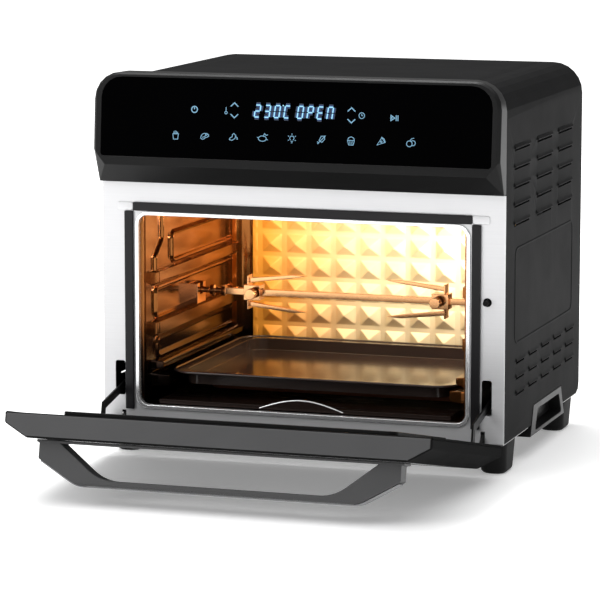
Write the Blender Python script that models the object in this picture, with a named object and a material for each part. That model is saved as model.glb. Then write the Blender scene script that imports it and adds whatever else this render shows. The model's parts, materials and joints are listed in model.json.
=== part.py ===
"""Countertop air fryer oven with a drop-down door and a rotisserie spit.

Every number is in millimetres, and the helpers turn it into metres. The drawing coordinates are:
x to the right of somebody who stands in front of the oven, y into the oven with y = 0 on the face
of the steel front panel, and z up from the worktop. The whole oven then shifts along y, so that
the origin is the bottom centre of its bounding box with the door open.
"""

import math

import bmesh
import bpy
from mathutils import Vector

MM = 0.001
GAP = 0.3  # left between two pieces that touch

# casing
HALF_WIDTH = 200.0
DEPTH = 299.3
SIDE_BOTTOM = 32.4
ROOF = 367.3
ROOF_RADIUS = 30.0
SHEET = 1.0
LOUVRE_PROUD = 1.4

# steel front panel and cavity
PANEL_TOP = 266.4
PANEL_THICK = 1.2
MOUTH_HALF = 163.0
MOUTH_LOW, MOUTH_HIGH = 50.4, 234.9
COLLAR_WIDTH = 3.6
CAVITY_HALF = 160.0
CAVITY_BACK = 272.0
CAVITY_TOP = 246.0

# control head
FASCIA_LOW = 285.5
FASCIA_HIGH = 373.0
FASCIA_FRONT = -25.8
FASCIA_LEAN = math.radians(4.7)

# door, drawn closed
DOOR_INNER = -3.3
DOOR_THICK = 22.5
DOOR_EDGE = 10.0
DOOR_CHAMFER = 22.0
DOOR_LOW = 19.05
DOOR_HEIGHT = 241.5
DOOR_OPEN = math.radians(77.6)
HINGE_Y, HINGE_Z = -12.86, 23.97

# door arms and the steel panel's slots for them
ARM_X = 183.0
ARM_THICK = 2.0
ARM_HALF = 4.0
ARM_PIVOT_CLOSED = (-11.2, 62.05)
SWITCH_Z = 166.0

# cooking parts
SPIT_Y, SPIT_Z = 137.0, 144.0
FAN_Y = 140.0
SHELF_LEDGES = ((163.0, 177.0, 7.0), (113.0, 128.0, 7.0), (80.5, 90.0, 13.0), (64.0, 76.9, 19.0))

REAR_Y = DEPTH + 3.0  # the cord gland's outer face

# (first axis, second axis, axis along) for an outline that is extruded along an axis
PLANES = {"x": (1, 2, 0), "y": (0, 2, 1), "z": (0, 1, 2)}


def filleted(points, radii, steps=4):
    """The outline through points, with each corner rounded to its radius."""
    outline = []
    count = len(points)
    for i, (corner, radius) in enumerate(zip(points, radii)):
        here = Vector(corner)
        back = (Vector(points[i - 1]) - here).normalized()
        ahead = (Vector(points[(i + 1) % count]) - here).normalized()
        if radius <= 0:
            outline.append(tuple(here))
            continue
        half = back.angle(ahead) / 2
        centre = here + (back + ahead).normalized() * radius / math.sin(half)
        first = here + back * radius / math.tan(half) - centre
        last = here + ahead * radius / math.tan(half) - centre
        sweep = first.angle_signed(last)
        for k in range(steps + 1):
            turn = -sweep * k / steps
            c, s = math.cos(turn), math.sin(turn)
            outline.append((centre.x + first.x * c - first.y * s, centre.y + first.x * s + first.y * c))
    return outline


def rectangle(low, high, radius=0.0, steps=4, top_radius=None):
    """A rectangle between two corners, its lower corners rounded to radius and the upper to top_radius."""
    top = radius if top_radius is None else top_radius
    corners = [low, (high[0], low[1]), high, (low[0], high[1])]
    return filleted(corners, [radius, radius, top, top], steps)


def circle(centre, radius, steps=12):
    """A polygon round centre."""
    turns = [2 * math.pi * k / steps for k in range(steps)]
    return [(centre[0] + radius * math.cos(t), centre[1] + radius * math.sin(t)) for t in turns]


def offset(path, distance):
    """An open path moved sideways by distance, to its left."""
    moved = []
    for i, point in enumerate(path):
        here = Vector(point)
        before = Vector(path[max(i - 1, 0)])
        after = Vector(path[min(i + 1, len(path) - 1)])
        into = (here - before).normalized() if i else (after - here).normalized()
        away = (after - here).normalized() if i < len(path) - 1 else into
        normal = Vector((-into.y - away.y, into.x + away.x)).normalized()
        stretch = max(0.3, normal.dot(Vector((-into.y, into.x))))
        moved.append(tuple(here + normal * distance / stretch))
    return moved


def ribbon(path, near, far):
    """A strip of even width along an open path, between two sideways offsets."""
    return offset(path, near) + offset(path, far)[::-1]


def opened(y, z):
    """Where a point of the closed door, as (y, z), goes when the door is open."""
    c, s = math.cos(DOOR_OPEN), math.sin(DOOR_OPEN)
    return (HINGE_Y + (y - HINGE_Y) * c - (z - HINGE_Z) * s, HINGE_Z + (y - HINGE_Y) * s + (z - HINGE_Z) * c)


def front_y():
    """The foremost point of the open door: the rounded outer edge of its free end."""
    return opened(DOOR_INNER - DOOR_THICK, DOOR_LOW + DOOR_HEIGHT)[0]


ORIGIN_Y = -(front_y() + REAR_Y) / 2


class Place:
    """An empty that pieces hang on. Their drawing coordinates count from its datum."""

    def __init__(self, name, point, inside=None, turn=0.0, datum=None):
        self.point = Vector(point)
        self.datum = Vector(point if datum is None else datum)
        self.empty = bpy.data.objects.new(name, None)
        bpy.context.scene.collection.objects.link(self.empty)
        self.empty.location = (self.point - (inside.point if inside else Vector())) * MM
        self.empty.rotation_euler.x = turn
        if inside:
            self.empty.parent = inside.empty


class Drawing:
    """Closed solids that are drawn into one mesh."""

    def __init__(self, place):
        self.place = place
        self.mesh = bmesh.new()

    def vertex(self, point):
        return self.mesh.verts.new((Vector(point) - self.place.datum) * MM)

    def rings(self, rings, closed=False):
        """Skins the rings of points, and caps the first and the last unless the rings are closed."""
        rows = [[self.vertex(p) for p in ring] for ring in rings]
        if closed:
            rows.append(rows[0])
        for low, high in zip(rows, rows[1:]):
            count = max(len(low), len(high))
            for i in range(count):
                j = (i + 1) % count
                if len(low) == 1:
                    self.mesh.faces.new((low[0], high[j], high[i]))
                elif len(high) == 1:
                    self.mesh.faces.new((low[i], low[j], high[0]))
                else:
                    self.mesh.faces.new((low[i], low[j], high[j], high[i]))
        if not closed:
            if len(rows[0]) > 2:
                self.mesh.faces.new(rows[0][::-1])
            if len(rows[-1]) > 2:
                self.mesh.faces.new(rows[-1])
        return self

    def prism(self, outline, axis, low, high):
        """An outline extruded along an axis, from low to high."""
        first, second, along = PLANES[axis]
        ends = []
        for level in (low, high):
            ring = []
            for p, q in outline:
                point = [0.0, 0.0, 0.0]
                point[first], point[second], point[along] = p, q, level
                ring.append(point)
            ends.append(ring)
        return self.rings(ends)

    def box(self, low, high):
        """A plain block between two corners."""
        return self.prism(rectangle(low[:2], high[:2]), "z", low[2], high[2])

    def turned(self, profile, centre, axis, steps=16):
        """A profile of (radius, height) points turned about an axis through centre."""
        first, second, along = PLANES[axis]
        rings = []
        for radius, height in profile:
            ring = []
            middle = (centre[first], centre[second])
            for p, q in circle(middle, radius, steps) if radius else [middle]:
                point = [0.0, 0.0, 0.0]
                point[first], point[second], point[along] = p, q, height
                ring.append(point)
            rings.append(ring)
        return self.rings(rings, closed=bool(profile[0][0]))

    def hull(self, points):
        """The convex hull of the points."""
        corners = [self.vertex(p) for p in points]
        result = bmesh.ops.convex_hull(self.mesh, input=corners)
        loose = result["geom_interior"] + result["geom_unused"]
        loose = [v for v in loose if isinstance(v, bmesh.types.BMVert)]
        bmesh.ops.delete(self.mesh, geom=loose, context="VERTS")
        return self

    def piece(self, name, material):
        """Turns the drawing into an object that hangs on its place."""
        bmesh.ops.recalc_face_normals(self.mesh, faces=self.mesh.faces)
        data = bpy.data.meshes.new(name)
        self.mesh.to_mesh(data)
        self.mesh.free()
        data.materials.append(material)
        made = bpy.data.objects.new(name, data)
        bpy.context.scene.collection.objects.link(made)
        made.parent = self.place.empty
        return made

    def tool(self, name, material):
        """Turns the drawing into a hidden object for a Boolean."""
        made = self.piece(name, material)
        made.hide_render = True
        made.display_type = "WIRE"
        return made


def boolean(piece, tool, operation):
    """Adds an exact Boolean with a hidden tool to a piece."""
    modifier = piece.modifiers.new(tool.name, "BOOLEAN")
    modifier.operation = operation
    modifier.solver = "EXACT"
    modifier.object = tool
    return piece


def cut(piece, *drawings):
    """Takes the solids of each drawing out of a piece. The solids inside one drawing stay apart."""
    for drawing in drawings:
        boolean(piece, drawing.tool(piece.name + "_cut", piece.data.materials[0]), "DIFFERENCE")
    return piece


def fuse(piece, *drawings):
    """Joins the solids of each drawing to a piece."""
    for drawing in drawings:
        boolean(piece, drawing.tool(piece.name + "_fuse", piece.data.materials[0]), "UNION")
    return piece


def rod(place, name, points, radius, material, resolution=1):
    """A round bar along a path, as a bevelled curve with filled ends."""
    curve = bpy.data.curves.new(name, "CURVE")
    curve.dimensions = "3D"
    curve.bevel_depth = radius * MM
    curve.bevel_resolution = resolution
    curve.use_fill_caps = True
    spline = curve.splines.new("POLY")
    spline.points.add(len(points) - 1)
    for target, point in zip(spline.points, points):
        target.co = (*((Vector(point) - place.datum) * MM), 1.0)
    curve.materials.append(material)
    made = bpy.data.objects.new(name, curve)
    bpy.context.scene.collection.objects.link(made)
    made.parent = place.empty
    return made


def finish(name, colour, roughness, metallic=0.0):
    """A Principled material."""
    material = bpy.data.materials.new(name)
    material.use_nodes = True
    shader = material.node_tree.nodes["Principled BSDF"]
    shader.inputs["Base Color"].default_value = (*colour, 1.0)
    shader.inputs["Roughness"].default_value = roughness
    shader.inputs["Metallic"].default_value = metallic
    return material


def mirrored():
    """The two sides, as (name, sign of x)."""
    return (("left", -1.0), ("right", 1.0))


def span(sign, near, far):
    """An interval of x on one side, lowest first."""
    return tuple(sorted((sign * near, sign * far)))


def make_casing(oven, paint, plastic, rubber, sheet_steel):
    """The bent outer casing, the rear panel, the base plate, the grips and the feet."""
    inner = HALF_WIDTH - SHEET
    outside = rectangle((-HALF_WIDTH, SIDE_BOTTOM), (HALF_WIDTH, ROOF), 0, 6, ROOF_RADIUS)
    wrap = Drawing(oven).prism(outside, "y", PANEL_THICK + GAP, DEPTH).piece("outer_wrap", paint)
    hollow = rectangle((-inner, SIDE_BOTTOM - 5), (inner, ROOF - SHEET), 0, 6, ROOF_RADIUS - SHEET)
    cut(wrap, Drawing(oven).prism(hollow, "y", -5, DEPTH + 5))

    groups = [
        ([235.7 + 17.7 * row for row in range(5)], [(30.0, 88.0), (116.0, 175.0), (200.0, 257.0)]),
        ([73.3 + 15.1 * row for row in range(3)], [(42.0 + 49.0 * k, 75.0 + 49.0 * k) for k in range(5)]),
    ]
    hoods, slots = Drawing(oven), Drawing(oven)
    for _, sign in mirrored():
        for heights, stretches in groups:
            for z in heights:
                for start, end in stretches:
                    root, lip = sign * (HALF_WIDTH - 0.5), sign * (HALF_WIDTH + LOUVRE_PROUD)
                    hood = [(root, z + 6.0), (lip, z + 1.5), (lip, z + 0.7), (root, z + 0.2)]
                    hoods.prism(hood, "y", start, end)
                    low, high = span(sign, inner - 2, HALF_WIDTH + 4)
                    slots.box((low, start + 1, z - 1.8), (high, end - 1, z - 0.2))
    fuse(wrap, hoods)
    cut(wrap, slots)

    notch = [(99.9, SIDE_BOTTOM - 5), (111.6, 51.4), (223.4, 51.4), (237.4, SIDE_BOTTOM - 5)]
    heel = [(DEPTH + 2, SIDE_BOTTOM - 2), (DEPTH + 2, SIDE_BOTTOM + 10), (DEPTH, SIDE_BOTTOM + 10)]
    heel += [(DEPTH - 3, SIDE_BOTTOM + 3), (DEPTH - 10, SIDE_BOTTOM), (DEPTH - 10, SIDE_BOTTOM - 2)]
    sides = Drawing(oven)
    for _, sign in mirrored():
        low, high = span(sign, inner - 4, HALF_WIDTH + 4)
        sides.prism(notch, "x", low, high)
        sides.prism(heel, "x", low, high)
    cut(wrap, sides)

    corner = ROOF_RADIUS - SHEET - GAP
    face = rectangle((-inner + GAP, SIDE_BOTTOM), (inner - GAP, ROOF - SHEET - GAP), 0, 6, corner)
    rear = Drawing(oven).prism(face, "y", DEPTH - 2.5, DEPTH - 1.5).piece("rear_panel", paint)
    vents = Drawing(oven)
    for row in range(6):
        for x in (-150.0, -60.0, 30.0, 120.0):
            vents.box((x - 12, DEPTH - 6, 240 + 14 * row), (x + 42, DEPTH + 2, 244 + 14 * row))
    vents.prism(circle((-120.0, 62.0), 7.0), "y", DEPTH - 6, DEPTH + 2)
    cut(rear, vents)

    bore = [(3.5, DEPTH - 14), (6.7, DEPTH - 14), (6.7, DEPTH - 1.2), (10.0, DEPTH - 1.2)]
    bore += [(10.0, REAR_Y), (3.5, REAR_Y)]
    Drawing(oven).turned(bore, (-120.0, 0, 62.0), "y", 12).piece("cord_gland", rubber)

    low, high = SIDE_BOTTOM - 1.9, SIDE_BOTTOM - 0.7
    base = Drawing(oven).box((-198.5, 3.5, low), (198.5, 296.0, high)).piece("base_plate", sheet_steel)
    openings = Drawing(oven)
    for _, sign in mirrored():
        a, b = span(sign, 176.8, 182.2)
        openings.box((a, 0, low - 3), (b, 25, high + 3))
        a, b = span(sign, 184.6, 205)
        openings.box((a, 97.5, low - 3), (b, 239.5, high + 3))
        for k in range(6):
            a, b = span(sign, 30, 120)
            openings.box((a, 60 + 32 * k, low - 3), (b, 68 + 32 * k, high + 3))
    cut(base, openings)

    for side, sign in mirrored():
        a, b = span(sign, 185.0, HALF_WIDTH + 0.4)
        rim = [(100.2, 21.0), (112.0, 51.0), (223.0, 51.0), (236.8, 21.0)]
        grip = Drawing(oven).prism(rim, "x", a, b).piece("side_grip_" + side, plastic)
        a, b = span(sign, 188.0, HALF_WIDTH + 5)
        hole = [(118.5, 25.0), (129.0, 44.5), (213.0, 44.5), (224.5, 25.0)]
        cut(grip, Drawing(oven).prism(filleted(hole, [2, 4, 4, 2], 2), "x", a, b))

    for end, y in (("front", 36.0), ("rear", 262.0)):
        for side, sign in mirrored():
            x = sign * 184.0
            rings = []
            for z, half_x, half_y in ((0, 10.0, 16.0), (3, 12.5, 18.5), (low - GAP, 14.0, 22.0)):
                ring = rectangle((x - half_x, y - half_y), (x + half_x, y + half_y), 8, 3)
                rings.append([(p, q, z) for p, q in ring])
            Drawing(oven).rings(rings).piece(f"foot_{end}_{side}", rubber)


def make_front(oven, steel, chrome, black_rubber):
    """The steel front panel, the collar round the cavity's mouth and the door seals."""
    outline = rectangle((-HALF_WIDTH, SIDE_BOTTOM), (HALF_WIDTH, PANEL_TOP))
    panel = Drawing(oven).prism(outline, "y", 0, PANEL_THICK).piece("front_frame", steel)
    holes = Drawing(oven)
    mouth = rectangle((-MOUTH_HALF - 1.6, MOUTH_LOW - 1.6), (MOUTH_HALF + 1.6, MOUTH_HIGH + 1.6), 10.6)
    holes.prism(mouth, "y", -5, 5)
    for _, sign in mirrored():
        a, b = span(sign, 178.0, 188.0)
        holes.prism(rectangle((a, 58.9), (b, 92.4), 2.0, 2), "y", -5, 5)
        a, b = span(sign, 177.4, 181.6)
        holes.box((a, -5, SIDE_BOTTOM - 5), (b, 5, 44.0))
    holes.prism(circle((ARM_X, SWITCH_Z), 4.2), "y", -5, 5)
    cut(panel, holes)

    reach, base, crown = MOUTH_HALF + COLLAR_WIDTH, MOUTH_LOW - COLLAR_WIDTH, MOUTH_HIGH + COLLAR_WIDTH
    outer = rectangle((-reach, base), (reach, crown), 12.6)
    collar = Drawing(oven).prism(outer, "y", -1.8, -GAP).piece("cavity_collar", chrome)
    reach = MOUTH_HALF + 1.2
    throat = rectangle((-reach, MOUTH_LOW - 1.2), (reach, MOUTH_HIGH + 1.2), 10.2)
    fuse(collar, Drawing(oven).prism(throat, "y", -1.0, 4.0))
    mouth = rectangle((-MOUTH_HALF, MOUTH_LOW), (MOUTH_HALF, MOUTH_HIGH), 9.0)
    cut(collar, Drawing(oven).prism(mouth, "y", -5, 8))

    seal_low, seal_join, seal_top = 45.8, 238.6, 247.2
    near, far = 168.2, 177.0
    bar = Drawing(oven).box((-near, DOOR_INNER + GAP, seal_join + GAP), (near, -GAP, seal_top))
    bar.piece("seal_top", black_rubber)
    for side, sign in mirrored():
        a, b = span(sign, near, far)
        bar = Drawing(oven).box((a, DOOR_INNER + GAP, seal_low), (b, -GAP, seal_join))
        bar.piece("seal_" + side, black_rubber)


def make_cavity(oven, enamel, chrome, glow_metal, glass, sheet_steel):
    """The cavity liner with its shelf ledges, the heaters, the lamp and the temperature sensor."""
    wall = 1.0
    half, back, top = CAVITY_HALF + wall, CAVITY_BACK + wall, CAVITY_TOP + wall
    shell = filleted([(-half, 4.3), (half, 4.3), (half, back), (-half, back)], [0, 0, 19, 19], 5)
    liner = Drawing(oven).prism(shell, "z", MOUTH_LOW - wall, top).piece("cavity_liner", enamel)
    fuse(liner, Drawing(oven).box((-170, 4.3, MOUTH_LOW - 5), (170, 5.3, top + 4)))
    room = [(-CAVITY_HALF, -5), (CAVITY_HALF, -5), (CAVITY_HALF, CAVITY_BACK), (-CAVITY_HALF, CAVITY_BACK)]
    hollow = filleted(room, [0, 0, 18, 18], 5)
    cut(liner, Drawing(oven).prism(hollow, "z", MOUTH_LOW, CAVITY_TOP))
    holes = Drawing(oven).prism(circle((0, FAN_Y), 58, 24), "z", CAVITY_TOP - 3, top + 5)
    holes.prism(circle((SPIT_Y, SPIT_Z), 8.8), "x", CAVITY_HALF - 3, half + 5)
    holes.box((CAVITY_HALF - 3, 194, 188), (half + 5, 231, 214))
    cut(liner, holes)
    ledges = Drawing(oven)
    for _, sign in mirrored():
        for low, high, proud in SHELF_LEDGES:
            wall_x, edge_x = sign * (CAVITY_HALF + 0.4), sign * (CAVITY_HALF - proud)
            ledge = [(wall_x, low), (edge_x, low + 3), (edge_x, high - 1), (wall_x, high)]
            ledges.prism(ledge, "y", 22, 262)
    fuse(liner, ledges)

    for name, z, front, rear in (("lower_heater", 59.6, 75.0, 205.0), ("upper_heater", 234.0, 68.0, 212.0)):
        end = CAVITY_HALF - GAP
        corners = filleted([(end, front), (-118.0, front), (-118.0, rear), (end, rear)], [0, 14, 14, 0], 5)
        rod(oven, name, [(x, y, z) for x, y in corners], 3.2, glow_metal)

    rod(oven, "temperature_sensor", [(70, 262, 230), (157, 262, 230)], 2.0, chrome)
    pane = rectangle((190, 184), (235, 218), 4, 2)
    lens = Drawing(oven).prism(pane, "x", CAVITY_HALF - 3.3, CAVITY_HALF - GAP)
    lens.piece("lamp_glass", glass)
    housing = Drawing(oven).box((half + GAP, 186, 180), (186, 239, 222)).piece("lamp_housing", sheet_steel)
    cut(housing, Drawing(oven).box((half - 2, 187.5, 181.5), (184.5, 237.5, 220.5)))
    bulb = [(0, half + 1), (6, half + 2), (8, half + 6), (8, half + 11), (5, half + 15)]
    bulb += [(5, 184.2), (0, 184.2)]
    Drawing(oven).turned(bulb, (0, 212.5, 201), "x", 10).piece("lamp_bulb", glass)


def make_fan(oven, sheet_steel, chrome, black_metal):
    """The convection fan above the cavity, with its guard, chamber and motor."""
    guard_top = CAVITY_TOP - GAP
    disc = [(0, guard_top - 1.2), (64, guard_top - 1.2), (64, guard_top), (0, guard_top)]
    guard = Drawing(oven).turned(disc, (0, FAN_Y, 0), "z", 24)
    guard = guard.piece("fan_guard", chrome)
    slits = Drawing(oven)
    for row in range(-4, 5):
        reach, middle = math.sqrt(54.0**2 - (12.0 * row) ** 2), FAN_Y + 12 * row
        slits.box((-reach, middle - 2.5, guard_top - 4), (reach, middle + 2.5, guard_top + 3))
    cut(guard, slits)

    low, high = CAVITY_TOP + 1.0 + GAP, 272.0
    can = [(5.5, high - 1), (63, high - 1), (63, low), (66, low), (66, high), (5.5, high)]
    Drawing(oven).turned(can, (0, FAN_Y, 0), "z", 24).piece("fan_chamber", sheet_steel)
    motor = [(0, 291.5), (3.5, 291.5), (3.5, high + GAP), (26, high + GAP), (26, 302), (22, 306), (0, 306)]
    Drawing(oven).turned(motor, (0, FAN_Y, 0), "z", 16).piece("fan_motor", black_metal)

    axle = Place("fan_axis", (0, FAN_Y, 0), oven)
    hub = [(0, 252), (9, 252), (9, 263), (3, 263), (3, 291), (0, 291)]
    fan = Drawing(axle).turned(hub, (0, FAN_Y, 0), "z", 12).piece("convection_fan", sheet_steel)
    blades = Drawing(axle)
    for k in range(6):
        turn = math.pi * k / 3
        along = Vector((math.cos(turn), math.sin(turn)))
        across = Vector((-math.sin(turn), math.cos(turn)))
        centre = Vector((0, FAN_Y))
        foot, tip = centre + along * 7, centre + along * 50
        outline = [foot - across * 0.7, tip - across * 0.7, tip + across * 0.7, foot + across * 0.7]
        blades.prism([tuple(p) for p in outline], "z", 253, 262)
    fuse(fan, blades)


def make_spit(oven, chrome, sheet_steel, black_metal):
    """The spit rod, its forks and screws, the drive and the left bracket."""
    motor = Drawing(oven).prism(rectangle((115, 121), (163, 170), 6, 3), "x", CAVITY_HALF + 2.7, 186)
    motor.piece("spit_motor", black_metal)

    bracket = Drawing(oven).box((-CAVITY_HALF + GAP, SPIT_Y - 12, 131), (-149, SPIT_Y + 12, 151))
    bracket = bracket.piece("spit_bracket", sheet_steel)
    pocket = Drawing(oven).box((-CAVITY_HALF + 1.5, SPIT_Y - 10.5, 132.5), (-151, SPIT_Y + 10.5, 155))
    notch = Drawing(oven).box((-153, SPIT_Y - 4.6, SPIT_Z - 4.6), (-145, SPIT_Y + 4.6, 155))
    cut(bracket, pocket, notch)

    axis = Place("spit_axis", (0, SPIT_Y, SPIT_Z), oven)
    centre = (0, SPIT_Y, SPIT_Z)
    socket_end = CAVITY_HALF - 6.0
    socket = [(0, socket_end), (7, socket_end), (8, socket_end + 1)]
    socket += [(8, CAVITY_HALF + 2.4), (0, CAVITY_HALF + 2.4)]
    Drawing(axis).turned(socket, centre, "x", 12).piece("drive_socket", sheet_steel)

    bar = rectangle((SPIT_Y - 3.2, SPIT_Z - 3.2), (SPIT_Y + 3.2, SPIT_Z + 3.2))
    spit = Drawing(axis).prism(bar, "x", -128, socket_end - GAP).piece("spit_rod", chrome)
    journal = [(0, -157), (1.5, -156), (3.2, -154), (3.2, -140), (5.5, -139), (5.5, -135)]
    journal += [(3.2, -134), (3.2, -128), (5.5, -127), (5.5, -123), (0, -123)]
    fuse(spit, Drawing(axis).turned(journal, centre, "x", 12))

    for side, sign in mirrored():
        reach = 105.0 if sign > 0 else 98.0
        plate_x, hub_end, tip = sign * reach, sign * (reach - 13), sign * (reach - 60)
        a, b = sorted((plate_x + 4 * sign, hub_end))
        fork = Drawing(axis).box((a, SPIT_Y - 7.5, SPIT_Z - 7.5), (b, SPIT_Y + 7.5, SPIT_Z + 7.5))
        fork = fork.piece("spit_fork_" + side, chrome)
        a, b = sorted((plate_x - 0.8, plate_x + 0.8))
        plate = Drawing(axis).box((a, SPIT_Y - 6.5, SPIT_Z - 17), (b, SPIT_Y + 6.5, SPIT_Z + 17))
        prongs = Drawing(axis)
        for up in (-1, 1):
            bend = tip + sign * 14
            outer = [(plate_x, SPIT_Z + up * 14), (bend, SPIT_Z + up * 19)]
            inner = [(bend, SPIT_Z + up * 15.5), (plate_x, SPIT_Z + up * 9.5)]
            prongs.prism([*outer, (tip, SPIT_Z + up * 18), *inner], "y", SPIT_Y - 3, SPIT_Y + 3)
        fuse(fork, plate, prongs)
        square = rectangle((SPIT_Y - 3.5, SPIT_Z - 3.5), (SPIT_Y + 3.5, SPIT_Z + 3.5))
        holes = Drawing(axis).prism(square, "x", -130, 130)
        screw_x = sign * (reach - 6.5)
        bore = Drawing(axis).prism(circle((screw_x, SPIT_Z), 2.8, 8), "y", SPIT_Y - 12, SPIT_Y - 2)
        cut(fork, holes, bore)
        shank = [(0, SPIT_Y - 20), (5.5, SPIT_Y - 20), (5.5, SPIT_Y - 11), (2.5, SPIT_Y - 11)]
        shank += [(2.5, SPIT_Y - 3.6), (0, SPIT_Y - 3.6)]
        Drawing(axis).turned(shank, (screw_x, 0, SPIT_Z), "y", 10).piece("fork_screw_" + side, chrome)


def make_trays(oven, dark_enamel, chrome):
    """The drip pan on its ledges and the crumb tray on the cavity floor."""
    rim = rectangle((-146, 28), (146, 262), 26, 4)
    pan = Drawing(oven).prism(rim, "z", 77.2, 78.6).piece("drip_pan", dark_enamel)
    fuse(pan, Drawing(oven).prism(rectangle((-134, 40), (134, 250), 18, 4), "z", 65.8, 78.0))
    cut(pan, Drawing(oven).prism(rectangle((-133, 41), (133, 249), 17, 4), "z", 66.8, 82))

    low = MOUTH_LOW + 0.4
    tray = Drawing(oven).box((-146, 8, low), (146, 258, low + 4)).piece("crumb_tray", chrome)
    lip = [(-44 + 84 * k / 8, low + 1 + 9.4 * math.sin(math.pi * k / 8)) for k in range(9)]
    fuse(tray, Drawing(oven).prism(lip, "y", 8, 9))
    cut(tray, Drawing(oven).box((-145, 9, low + 1), (145, 257, low + 20)))


def fascia_y(z):
    """The leaning front face of the control head, at a height."""
    return FASCIA_FRONT + (z - FASCIA_LOW) * math.tan(FASCIA_LEAN)


def make_control_head(oven, plastic, glass, board_green, lit):
    """The bezel, its glass, the display and the two boards."""
    chamfer, edge = 3.0, 2.0
    points = []
    front = [(-187.5, FASCIA_LOW), (187.5, FASCIA_LOW), (197, 297), (197, FASCIA_HIGH - edge)]
    front += [(-197, FASCIA_HIGH - edge), (-197, 297)]
    for x, z in filleted(front, [0, 0, 0, 23, 23, 0], 5):
        points.append((x, fascia_y(z), z))
    middle = [(-HALF_WIDTH, 300), (HALF_WIDTH, 300), (HALF_WIDTH, FASCIA_HIGH), (-HALF_WIDTH, FASCIA_HIGH)]
    for x, z in filleted(middle, [0, 0, 26, 26], 5):
        points.append((x, fascia_y(z) + chamfer, z))
    rear = rectangle((-HALF_WIDTH, PANEL_TOP + 0.6), (HALF_WIDTH, FASCIA_HIGH), 0, 5, 28)
    points += [(x, PANEL_THICK, z) for x, z in rear]
    points += [(sign * HALF_WIDTH, -7.0, PANEL_TOP + 0.6) for _, sign in mirrored()]
    bezel = Drawing(oven).hull(points).piece("control_bezel", plastic)

    shallow = [(x, fascia_y(z) + 6.0, z) for x, z in rectangle((-190, 297), (190, 364), 3, 5, 20)]
    deep = [(x, 8.0, z) for x, z in rectangle((-194, 277), (194, 368), 3, 5, 24)]
    cut(bezel, Drawing(oven).rings([shallow, deep]))

    fascia = Place("fascia", (0, FASCIA_FRONT, FASCIA_LOW), oven, -FASCIA_LEAN, (0, 0, 0))
    pane = (-191.7, 8.5), (191.7, 83.4)
    recess = rectangle((pane[0][0] - GAP, pane[0][1] - GAP), (pane[1][0] + GAP, pane[1][1] + GAP), 3, 5, 20)
    hollow = Drawing(fascia).prism(recess, "y", -5, 2.6)
    cut(bezel, hollow, Drawing(fascia).box((-50, -5, 34), (50, 12, 66)))
    Drawing(fascia).prism(rectangle(*pane, 3, 5, 20), "y", 0.2, 2.3).piece("control_glass", glass)
    Drawing(fascia).box((-47, 3.0, 36), (47, 12, 64)).piece("display_module", lit)
    Drawing(fascia).box((-178, 12.5, 13), (178, 14.1, 74)).piece("control_board", board_green)

    board = Drawing(oven).box((-180, 60, 276), (-90, 200, 278)).piece("power_board", board_green)
    parts = Drawing(oven)
    blocks = ((-165, 80, 10, 18), (-130, 85, 14, 22), (-160, 130, 12, 15), (-115, 160, 15, 26))
    for x, y, size, height in blocks:
        parts.box((x - size, y - size, 277), (x + size, y + size, 278 + height))
    fuse(board, parts)


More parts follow.
